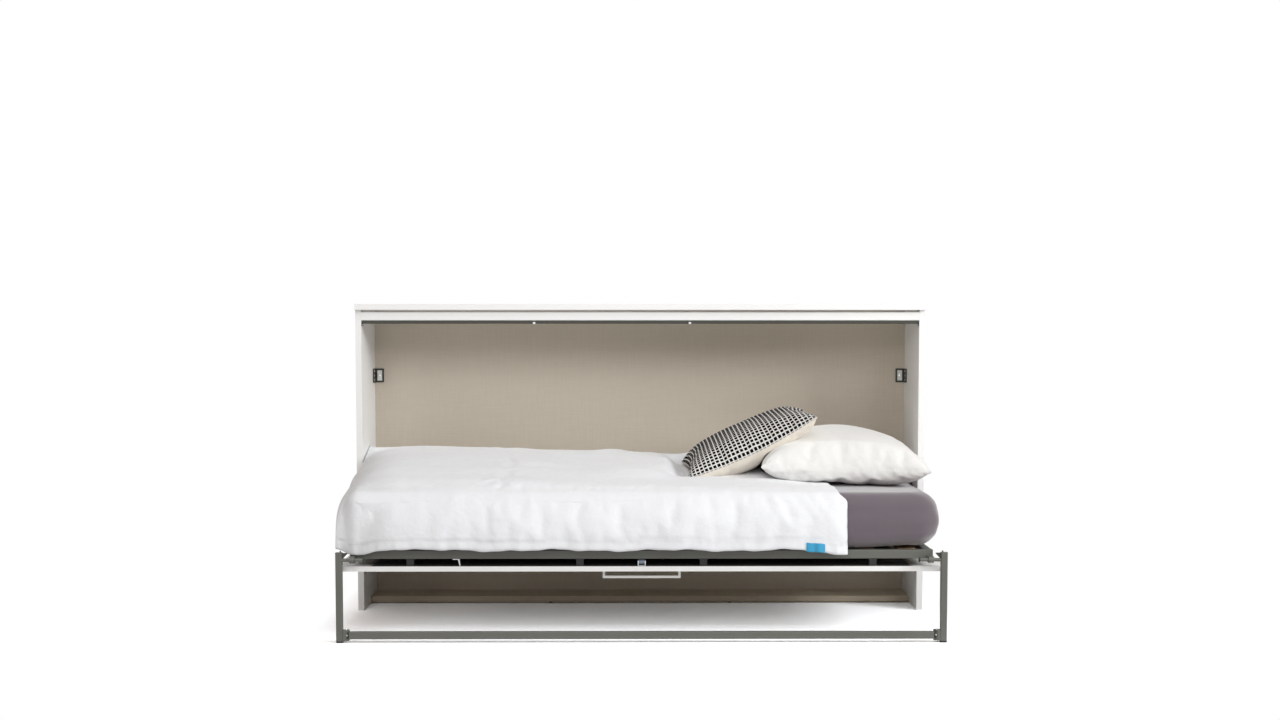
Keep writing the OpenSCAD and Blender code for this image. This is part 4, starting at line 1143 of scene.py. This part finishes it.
@dataclass
class Duvet:
    """The white duvet over the bed: puffed to the left, hanging at the front, round its left end.

    Each section across the bed runs over the top from the rear, then down the front as a quarter of a
    superellipse, and back underneath. The groups of fields are its sizes and room, the numbers of points,
    the curves of its upper side, its shoulder, its front and hem, its folds and seam, what keeps it clear
    of the folded crossbar, and its colours.
    """

    left: float = 1.031
    right: float = 0.690
    crown: float = 0.104
    thin: float = 0.007
    hem: float = 0.311
    end: float = 0.198
    close: float = 0.045
    bed_round: float = 0.050
    corner: float = 0.056
    inner_edge: float = 0.036
    ply: float = 0.0035
    gap: float = 0.004
    over_sheet: float = 0.0006
    near_front: float = 0.12
    deep: float = 0.2

    over_n: int = 60
    drop_n: int = 30
    bend_n: int = 8
    left_n: int = 22
    middle_n: int = 104
    right_n: int = 9
    rim_n: int = 3
    held_n: int = 56
    held_end: float = 1.4

    puff_right: tuple[Step, ...] = (Step(0.0, -0.32, 0.48), Step(0.0, -0.90, 0.30))
    puff_left: Step = Step(-0.10, -0.70, 0.22)
    foot: Step = Step(0.35, -1.10, 0.18, base=0.05)
    climb: tuple[Step, ...] = (Step(0.058, 0.27, 0.60), Step(0.0, 0.64, 0.40))
    rear_roll: Step = Step(0.0, 0.09, 0.7, base=0.3)
    soft: tuple[Ripples, Ripples] = (Ripples(0.46, 11, 0.0050), Ripples(0.20, 12, 0.0024))
    soft_stretch: tuple[float, float] = (0.8, 1.5)
    soft_fill: float = 0.03
    sunk: tuple[Hill, Hill] = (Hill(0.34, 0.18, 0.62), Hill(-0.27, 0.14))
    end_line: tuple[Step, ...] = (Step(-0.104, 0.607, 0.137), Step(-0.097, -0.178, -0.051))
    end_drop: float = 0.009
    rear_gap: float = 0.012
    rear_hem: Step = Step(0.0, 0.05, -0.5, base=0.5)
    press_gap: float = 0.009
    press_round: float = 0.014
    pressed_thin: float = 0.006

    shoulder: Step = Step(0.60, -1.2, 0.085, base=0.072)
    power: Step = Step(-0.88, -0.13, 0.7, base=2.3)
    blend: float = 0.006

    front_steps: tuple[Step, ...] = (Step(-0.82, -0.14, 0.040), Step(-0.955, -0.048, 0.018))
    turn: float = 0.028
    turn_back: float = 0.006
    hem_hills: tuple[Hill, ...] = (
        Hill(0.655, 0.055, -0.015), Hill(-0.955, 0.060, -0.017), Hill(-0.84, 0.05, 0.005))
    hem_waves: tuple[tuple[float, float, float], ...] = (
        (15.7, 0.0, 0.0028), (41.0, 1.0, 0.0022), (97.0, 0.0, 0.0010))
    flap: Step = Step(-0.441, 0.54, 0.187)
    flap_back: float = 0.014
    flap_under: float = 0.008
    hem_turn: Step = Step(0.0, 0.03, 0.012)
    edge_share: float = 0.30
    edge_back: float = 0.034
    edge_over: Step = Step(-0.036, 0.040)

    waves: tuple[tuple[float, Ripples], ...] = (
        (0.12, Ripples(0.23, 21, 0.0040)), (0.25, Ripples(0.085, 22, 0.0014)))
    wave_start: Step = Step(-0.05, 0.06)
    deeper: Step = Step(0.0, 0.16, 0.70, base=0.30)
    creases: tuple[tuple[float, Hill], ...] = (
        (0.30, Hill(0.30, 0.026, 0.0022)), (0.55, Hill(0.43, 0.018, -0.0022)),
        (0.75, Hill(0.50, 0.016, 0.0022)), (0.60, Hill(0.575, 0.014, -0.0024)),
        (-0.25, Hill(-0.20, 0.030, 0.0020)), (-0.35, Hill(-0.62, 0.030, -0.0022)))
    crease_start: Step = Step(-0.02, 0.05)
    crease_stop: Step = Step(0.02, 0.08)
    pucker: Ripples = Ripples(0.030, 23, 0.0013, 7)
    seam_up: float = 0.038
    below_seam: Step = Step(0.0, 0.008)
    seam_step: float = 0.0015
    seam: Hill = Hill(0.037, 0.0050)

    bar_low: float = 0.5155
    bar_slope: float = 1.2
    bar_rear: float = -0.462
    bar_front: float = 0.511
    bar_strip: Hill = Hill(-0.474, 0.022)
    strip_low: float = 0.46
    tab_hold: tuple[float, float] = (0.06, 0.05)

    colour: Colour = (0.83, 0.845, 0.872)
    seam_tone: float = 0.84

    def __post_init__(self) -> None:
        """Takes its places from the CAD nodes of the mattress and the duvet."""
        low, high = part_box("mattress")
        self.bed_top, self.bed_front, self.rear = high.z, low.y, high.y - self.rear_gap
        self.bed_end = high.x
        self.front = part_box("duvet")[0].y

    def fill(self, x: Array, y: Array) -> Array:
        """Filled height over the mattress.

        Along the bed S curves add up to the left. Across it the height climbs from a foot at the front
        edge, fuller at the left, and rolls off at the rear.

        Args:
            x: Place along the bed.
            y: Place across it.

        Returns:
            Heights in metres.
        """
        puff = self.thin + (self.crown - self.thin) * (
            total(self.puff_right, x - self.right) + self.puff_left.at(x))
        foot = self.foot.at(x)
        rise = (foot + (1 - foot) * total(self.climb, y - self.front)) * self.rear_roll.at(self.rear - y)
        return puff * rise

    def free_top(self, x: Array, y: Array) -> Array:
        """Height of the upper side where nothing lies on it.

        It is uneven where it is filled, sunk in front of the cushion, and round over the left end like a
        quarter ellipse, down to the outermost line, which falls to the front corner.

        Args:
            x: Place along the bed.
            y: Place across it.

        Returns:
            Heights in metres.
        """
        fill = self.fill(x, y)
        broad, fine = self.soft
        soft = broad.at(x, y) + fine.at(x * self.soft_stretch[0], y * self.soft_stretch[1])
        sunk = 1.0 - self.sunk[0].at(x) * self.sunk[1].at(y)
        bed = self.bed_top + fill * sunk + soft * np.minimum(1.0, fill / self.soft_fill)
        line = total(self.end_line, y, self.bed_top - self.end_drop)
        u = np.clip((-x - (self.left - self.end)) / self.end, 0.0, 1.0)
        return line + (bed - line) * np.sqrt(1 - u * u)

    def top(self, x: Array, y: Array) -> Array:
        """Height of the upper side, pressed down under the pillow and the cushion."""
        free = self.free_top(x, y)
        load = np.minimum(PILLOW.lower(x, y), CUSHION.lower(x, y)) - self.press_gap
        pressed = lower_of(free, load, self.press_round)
        least = self.bed_top + np.minimum(self.pressed_thin, self.fill(x, y))
        return np.where(x < 0, free, np.maximum(pressed, least))

    def hem_line(self, x: Array) -> Array:
        """Height of the hem: slightly wavy, lowest at the corners of the hanging edge."""
        line = total(self.hem_hills, x, self.hem)
        return sum((high * np.sin(x * pace + phase) for pace, phase, high in self.hem_waves), line)

    def front_line(self, x: Array) -> Array:
        """Front face, which steps back round the mattress's corner, behind the folded leg's post."""
        turn = np.clip((-x - (self.left - self.turn)) / self.turn, 0.0, 1.0)
        return total(self.front_steps, x, self.front) + self.turn_back * (1 - np.sqrt(1 - turn * turn))

    def inner_front(self, x: Array) -> Array:
        """Front face of what the duvet hangs on, round the mattress's corner."""
        over = np.clip(-x - (self.bed_end - self.corner), 0, self.corner)
        return self.bed_front - TOUCH + self.corner - np.sqrt(self.corner ** 2 - over ** 2)

    def over_bed(self, x: Array, y: Array) -> Array:
        """Height of the mattress's upper side with its rounded edges and corner, deep down beside it."""
        radius = self.bed_round
        from_end = np.clip(radius - (x + self.bed_end), 0, radius)
        from_front = np.clip(radius - (y - self.bed_front), 0, radius)
        left = radius ** 2 - from_end ** 2 - from_front ** 2
        return self.bed_top - radius + np.where(left > 0, np.sqrt(np.maximum(left, 0)), -self.deep)

    def height(self, x: Array, y: Array) -> Array:
        """Height of the outer side over a point, round the shoulder.

        The shoulder is a superellipse: the power of the share across it and that of the share down it add
        up to 1. It stays over the mattress, and under the crossbar when the leg is folded over the bed.

        Args:
            x: Place along the bed.
            y: Place across it.

        Returns:
            Heights in metres.
        """
        front, wide, power, hem = (
            self.front_line(x), self.shoulder.at(x), self.power.at(x), self.hem_line(x))
        start = front + wide
        across = np.clip((start - y) / (start - front), 0, 1)
        soft = hem + (self.top(x, y) - hem) * (1 - across ** power) ** (1 / power)
        most = self.bar_low + self.bar_slope * np.maximum(0, y - self.bar_rear)
        soft = lower_of(soft, most, self.blend)
        least = upper_of(soft, self.over_bed(x, y) + self.gap, self.blend)
        return np.where(y < self.bed_front + self.near_front, least, soft)

    def stations(self) -> Array:
        """Places of the sections along the bed, closer round both ends."""
        turn_left, turn_right = -(self.left - self.end), self.right - self.close
        a = np.linspace(math.pi / 2, 0, self.left_n)
        middle = np.linspace(turn_left, turn_right, self.middle_n)[1:-1]
        b = np.linspace(0, math.pi / 2, self.right_n)
        return np.concatenate([turn_left - self.end * np.sin(a), middle, turn_right + self.close * np.sin(b)])

    def sections(self) -> Array:
        """The closed sections: over the top from the rear, down the front, and back underneath.

        Returns:
            Points of shape (sections, points, 3).
        """
        x = self.stations()[:, None]
        front, power, hem = self.front_line(x), self.power.at(x), self.hem_line(x)
        start = front + self.shoulder.at(x)
        t = np.linspace(0, 1, self.over_n + 1)[None, :]
        y_over = self.rear + (start - self.rear) * t
        roll = self.rear_hem.at(t)
        z_over = self.height(x, y_over) * (1 - roll) + self.bed_top * roll
        a = np.linspace(0, math.pi / 2, self.drop_n + 1)[None, 1:]
        reach = (np.sin(a) ** power + np.cos(a) ** power) ** (-1 / power)
        y_drop = start - (start - front) * reach * np.sin(a)
        z_drop = hem + (self.top(x, y_drop) - hem) * reach * np.cos(a)
        z_drop = np.where(y_drop > self.bed_front + TOUCH, self.height(x, y_drop),
                          np.minimum(z_drop, self.bar_front))
        y_drop = y_drop + self.folds(x, z_drop, hem)
        outer = self.joined(x, (y_over, y_drop), (z_over, z_drop))
        return self.closed_right(x, outer, self.inside(x, hem))

    def closed_right(self, x: Array, outer: Array, inner: Array) -> Array:
        """Thins the sections towards the right edge, which is drawn back over the shoulder.

        Args:
            x: Place of each section.
            outer: Outer halves of the sections.
            inner: Inner halves, point for point under the outer ones.

        Returns:
            The closed sections.
        """
        past = np.clip((x - (self.right - self.close)) / self.close, 0, 1)
        share = self.edge_share + (1 - self.edge_share) * np.sqrt(1 - past ** 2)
        outer = inner + (outer - inner) * share[..., None]
        back = self.edge_back * past ** 2 * self.edge_over.at(outer[..., 2] - self.bed_top)
        shift = np.stack([-back, 0 * back, 0 * back], -1)
        return np.concatenate([outer + shift, (inner + shift)[:, ::-1]], axis=1)

    def folds(self, x: Array, z: Array, hem: Array) -> Array:
        """Unevenness of the hanging front.

        Broad upright folds deepen downwards, a few long creases lean towards the right end, and small
        puckers lie below the hem's seam.

        Args:
            x: Place along the bed.
            z: Height.
            hem: Height of the hem there.

        Returns:
            Metres towards the rear.
        """
        drop = self.bed_top - z
        wave = sum(line.at(x, z * upright) for upright, line in self.waves)
        crease = sum(line.at(x - lean * drop) for lean, line in self.creases)
        crease = crease * self.crease_start.at(drop) * self.crease_stop.at(z - hem)
        below = self.below_seam.at(hem + self.seam_up - z)
        pucker = self.pucker.at(x, 0 * x) * below
        return (wave * self.deeper.at(drop) * self.wave_start.at(drop) + crease + pucker
                - below * self.seam_step)

    def inside(self, x: Array, hem: Array) -> Array:
        """Inner half of each section: over the mattress and down its front, or free beyond its end.

        Args:
            x: Place of each section.
            hem: Height of its hem.

        Returns:
            Points, one under each point of the outer half.
        """
        inner, face, edge = self.inner_front(x), self.front_line(x), self.inner_edge
        top = self.bed_top + self.over_sheet
        y_over = self.rear + (inner + edge - self.rear) * np.linspace(0, 1, self.over_n + 1)[None, :]
        z_over = np.minimum(top, self.height(x, y_over) - self.ply)
        a = np.linspace(0, math.pi / 2, self.bend_n + 1)[None, 1:]
        y_bend = inner + edge - edge * np.sin(a)
        z_bend = np.minimum(top - edge + edge * np.cos(a), self.height(x, y_bend + 0.002) - self.ply)
        low = z_bend[:, -1:]
        z_in = low + (hem - low) * np.linspace(0, 1, self.drop_n - self.bend_n + 1)[None, 1:]
        turned = self.hem_turn.at(hem + self.hem_turn.run - z_in)
        y_in = np.maximum(inner - turned, face + self.gap)
        bed = self.joined(x, (y_over, y_bend, y_in), (z_over, z_bend, z_in))
        s = np.linspace(0, 1, self.over_n + self.drop_n + 1)[None, :]
        y_flap = self.rear + (face + self.flap_back - self.rear) * s
        z_flap = np.minimum(self.hem + self.flap.at(y_flap), self.top(x, y_flap) - self.flap_under)
        flap = self.joined(x, (y_flap,), (z_flap,))
        return np.where(x[..., None] < -self.bed_end - TOUCH, flap, bed)

    @staticmethod
    def joined(x: Array, ys: tuple[Array, ...], zs: tuple[Array, ...]) -> Array:
        """Runs of y and z put end to end as points at x."""
        runs = [np.broadcast_arrays(x + 0 * y, y + 0 * z, z + 0 * y) for y, z in zip(ys, zs)]
        return np.stack([np.concatenate([run[k] for run in runs], 1) for k in range(3)], -1)

    def skin(self) -> Skin:
        """The closed skin, with what is held while it fills, and with its hem's seam.

        The inner half, the rims, the strip under the folded crossbar and the hem behind the tab are held,
        and the left end less and less towards the middle.

        Returns:
            The skin.
        """
        grid = self.sections()
        x, y, z = np.moveaxis(grid, -1, 0)
        half = grid.shape[1] // 2
        held = np.ones(x.shape)
        held[:, self.rim_n:half - self.rim_n] = 0.0
        fading = np.linspace(self.held_end, 0.0, self.held_n).clip(0, 1)[:, None]
        held[:self.held_n] = np.maximum(held[:self.held_n], fading)
        held = np.maximum(held, self.bar_strip.at(y) * (z > self.strip_low))
        up = z - self.hem_line(x)
        wide, tall = self.tab_hold
        held[(np.abs(x - HemTab.middle) < wide) & (up < tall)] = 1.0
        seam = self.seam.at(up)
        seam[:, half:] = seam[:, :self.over_n] = 0.0
        return Skin("duvet_cover", grid, held, {"seam": seam})

    def build(self) -> bpy.types.Object:
        """Builds, fills and dresses the duvet, and gives the piece."""
        skin = self.skin()
        piece = skin.build()
        Filling(pressure=2.0, spare=0.010, bending=0.8, cap=0.005).apply(piece, skin.held.ravel())
        rounded(piece)
        cloth = PlainCloth("duvet_cotton", self.colour, 1600.0, depth=0.00012, mottle=0.012, sheen=0.45,
                           crease=0.006, seam=scaled(self.colour, self.seam_tone))
        on_bed(piece, cloth, "duvet")
        return piece


@dataclass
class SoftForm:
    """A stuffed cover of two faces that meet in a seam, with drawn-in sides and pointed corners.

    Along u and v, from -1 to 1, the seam's half sizes are drawn in by a share that is greatest at the
    middle of each side. The faces stand off the seam plane by a lens: powers of 1 - u squared and
    1 - v squared. Past the seam the lower face is taken to flare up, as far as reach.
    """

    name: str
    middle: tuple[float, float, float]
    half: tuple[float, float]
    above: float
    below: float
    tilt: float = 0.0
    pull: float = 0.07
    rim: float = 0.002
    skew: float = 0.0
    sag: float = 0.0
    twist: float = 0.0
    powers: tuple[float, float] = (0.45, 0.34)
    flare: float = 0.7
    reach: float = 1.42

    def lens(self, u: Array, v: Array) -> Array:
        """Height over the seam plane, from 0 at the seam to 1 in the middle."""
        return (np.maximum(0, 1 - u * u) ** self.powers[0]) * (np.maximum(0, 1 - v * v) ** self.powers[1])

    def across(self, x: Array, y: Array) -> tuple[Array, Array]:
        """The form's own u and v under or over a point, from -1 to 1 inside its seam."""
        u = (x - self.middle[0]) / self.half[0] / math.cos(self.tilt)
        v = (y - self.middle[1]) / self.half[1] + 0 * x
        return (u / (1 - self.pull * np.maximum(0, 1 - v * v)),
                v / (1 - self.pull * np.maximum(0, 1 - u * u)))

    def plane(self, x: Array) -> Array:
        """Height of the seam's plane."""
        return self.middle[2] + (x - self.middle[0]) * math.tan(self.tilt)

    def twisted(self, u: Array, v: Array) -> Array:
        """Height that the left side is turned by, down in front and up at the rear."""
        return self.twist * np.clip(v, -1, 1) * (1 - np.clip(u, -1, 1)) / 2

    def lower(self, x: Array, y: Array) -> Array:
        """Height of the lower face over a point, rising past the edges, and far away beyond them."""
        u, v = self.across(x, y)
        past = np.maximum(0, np.abs(u) - 1) ** 2 + np.maximum(0, np.abs(v) - 1) ** 2
        thick = (self.rim + self.below * self.lens(u, v)) / math.cos(self.tilt)
        face = self.plane(x) - thick + self.flare * past + self.twisted(u, v)
        return np.where((np.abs(u) >= self.reach) | (np.abs(v) >= self.reach), FAR, face)

    def upper(self, x: Array, y: Array) -> Array:
        """Height of the upper face over a point, and far below everything beside the form."""
        u, v = self.across(x, y)
        thick = self.rim + self.above * (1 + self.skew * u) * self.lens(u, v)
        return np.where((np.abs(u) < 1) & (np.abs(v) < 1), self.plane(x) + self.twisted(u, v) + thick, -FAR)

    def place(self, u: Array, v: Array, height: Array) -> Array:
        """Points at u and v, a height over the seam plane, turned and put in their place."""
        x = self.half[0] * u * (1 - self.pull * (1 - v * v))
        y = self.half[1] * v * (1 - self.pull * (1 - u * u))
        height = height - self.sag * (1 - u * u) * np.abs(v) ** 3 + self.twisted(u, v)
        c, s = math.cos(self.tilt), math.sin(self.tilt)
        return np.stack([self.middle[0] + x * c - height * s, self.middle[1] + y,
                         self.middle[2] + x * s + height * c], -1)


PILLOW = SoftForm("pillow", middle=(0.707, 0.00865, 0.5660), half=(0.294, 0.330), above=0.116, below=0.064,
                  tilt=math.radians(-1.8), sag=0.010, skew=0.05, powers=(0.45, 0.30))
CUSHION = SoftForm("cushion", middle=(0.386, -0.00735, 0.643), half=(0.248, 0.248), above=0.063, below=0.078,
                   tilt=math.radians(24.5), powers=(0.42, 0.42), sag=0.022, twist=0.011)


@dataclass
class Stuffed:
    """A pillow or cushion built from its form, resting on what lies under it."""

    form: SoftForm
    duvet: Duvet
    on_pillow: bool = False
    cells: int = 58
    over_sheet: float = 0.003
    over_duvet: float = 0.004
    over_pillow: float = 0.006
    seam_hold: float = 0.6
    under_share: float = 0.7
    fan: tuple[float, float] = (13.0, 0.010)
    gather: tuple[float, float, float] = (26.0, 9.0, 0.008)
    uneven: float = 0.003

    def rests_on(self, points: Array) -> Array:
        """Height of the duvet, mattress or pillow under each point."""
        x, y = points[..., 0], points[..., 1]
        duvet = self.duvet
        cover = duvet.top(np.minimum(x, duvet.right), y) + self.over_duvet
        bed = np.where(x < duvet.right + 0.02, cover, duvet.bed_top + self.over_sheet)
        return np.maximum(bed, PILLOW.upper(x, y) + self.over_pillow) if self.on_pillow else bed

    def skin(self) -> Skin:
        """The closed skin: per u, v goes over the upper face and back under the lower one.

        Returns:
            The skin, held where it is pressed and more loosely at its seam.
        """
        form = self.form
        a = np.linspace(-math.pi / 2, math.pi / 2, self.cells + 1)
        u, v = np.meshgrid(np.sin(a), np.sin(a), indexing="ij")
        body = form.lens(u, v)
        crease = self.creases(u, v) * body
        upper = form.place(u, v, form.rim + form.above * (1 + form.skew * u) * body + crease)
        lower = form.place(u, v, -form.rim - form.below * body - crease * self.under_share)
        floor = self.rests_on(lower)
        pressed = (np.abs(u) < 0.999) & (np.abs(v) < 0.999) & (lower[..., 2] < floor)
        lower[..., 2] = np.where(pressed, floor, lower[..., 2])
        held = np.concatenate([np.zeros(u.shape), pressed[:, ::-1] * 1.0], axis=1)
        held[:, [0, -1, self.cells, self.cells + 1]] = held[[0, -1], :] = self.seam_hold
        up = np.concatenate([np.ones(u.shape), np.zeros(u.shape)], axis=1)
        grid = np.concatenate([upper, lower[:, ::-1]], axis=1)
        return Skin(form.name + "_cover", grid, held, {"upper": up})

    def creases(self, u: Array, v: Array) -> Array:
        """Soft folds that fan out from the four corners and run in from the seam.

        Args:
            u: First own coordinate of the points.
            v: Second one.

        Returns:
            Heights in metres.
        """
        seed = len(self.form.name)
        corner = (np.abs(u) ** 3) * (np.abs(v) ** 3)
        turn = np.arctan2(1.02 - np.abs(v), 1.02 - np.abs(u))
        spread, fan_high = self.fan
        fan = np.sin(turn * spread + seed) * fan_high * corner
        fine, coarse, high = self.gather
        gather = sum(np.sin(p * fine + seed) * np.sin(p * coarse + 2.0) * np.abs(q) ** 6
                     for p, q in ((u, v), (v, u)))
        return fan + gather * high * (1 - corner) + Ripples(0.9, seed, self.uneven).at(u, v)

    def build(self, slot: str, finish: Finish, filling: Filling, fill: float) -> bpy.types.Object:
        """Builds, fills and dresses the piece.

        Args:
            slot: The record's material slot; not used.
            finish: What it is made of.
            filling: The cloth settings.
            fill: How tightly it is stuffed, from 0 to 1; not used.

        Returns:
            The piece.
        """
        skin = self.skin()
        piece = skin.build()
        filling.apply(piece, skin.held.ravel())
        rounded(piece)
        on_bed(piece, finish, self.form.name)
        return piece


@dataclass
class HemTab:
    """A plain blue ribbon sewn into the duvet's hem."""

    middle: float = 0.580
    wide: float = 0.062
    tall: float = 0.030
    thick: float = 0.0012
    before: float = 0.0036
    tuck: float = 0.001
    colour: Colour = (0.055, 0.36, 0.60)

    def build(self, duvet: Duvet) -> bpy.types.Object:
        """Builds the tab in front of the hem.

        Args:
            duvet: The duvet that it is sewn to.

        Returns:
            The piece.
        """
        x = np.linspace(self.middle - self.wide / 2, self.middle + self.wide / 2, 17)
        xs, up = np.meshgrid(x, np.linspace(1, 0, 9), indexing="ij")
        hem = duvet.hem_line(xs)
        z = hem - self.tuck + self.tall * up
        y = duvet.front_line(xs) + duvet.folds(xs, z, hem) - self.before
        outer = np.stack([xs, y, z], -1)
        inner = outer + np.array([0.0, self.thick, 0.0])
        piece = Skin("hem_tab", np.concatenate([outer, inner[:, ::-1]], axis=1)).build()
        cloth = PlainCloth("tab_ribbon", self.colour, 2600.0, depth=0.0002, mottle=0.10, sheen=0.3)
        on_bed(piece, cloth)
        return piece


@dataclass
class Bedding:
    """Mattress, duvet, pillow and cushion, each parented to the bed's body."""

    keep: float = 0.25
    cream: Colour = (0.80, 0.795, 0.775)

    def build(self) -> None:
        """Builds the soft goods from the mattress up."""
        Mattress().build()
        duvet = Duvet()
        cover = duvet.build()
        tab = HemTab().build(duvet)
        cotton = PlainCloth("cream_cotton", self.cream, 1500.0, depth=0.00015, mottle=0.014, sheen=0.4,
                            crease=0.007)
        pillow = Stuffed(PILLOW, duvet).build(
            "cream_cotton", cotton, Filling(pressure=3.0, spare=0.03, cap=0.014), fill=0.6)
        cushion = Stuffed(CUSHION, duvet, on_pillow=True).build(
            "woven_cotton", DashCloth("woven_cotton"), Filling(pressure=3.0, spare=0.02, cap=0.010),
            fill=0.75)
        for piece in (cover, tab, pillow, cushion):
            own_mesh(piece)


def main() -> None:
    """Builds the camera, the studio and each part of the bed in order."""
    logging.basicConfig(level=logging.INFO, format="%(name)s: %(message)s")
    Viewpoint().build()
    Studio().build()
    dresser = Dresser()
    for part in (Cabinet(), BedFrame(), LegBail(), GasStruts()):
        part.build(dresser)
    Bedding().build()


if __name__ == "__main__":
    main()
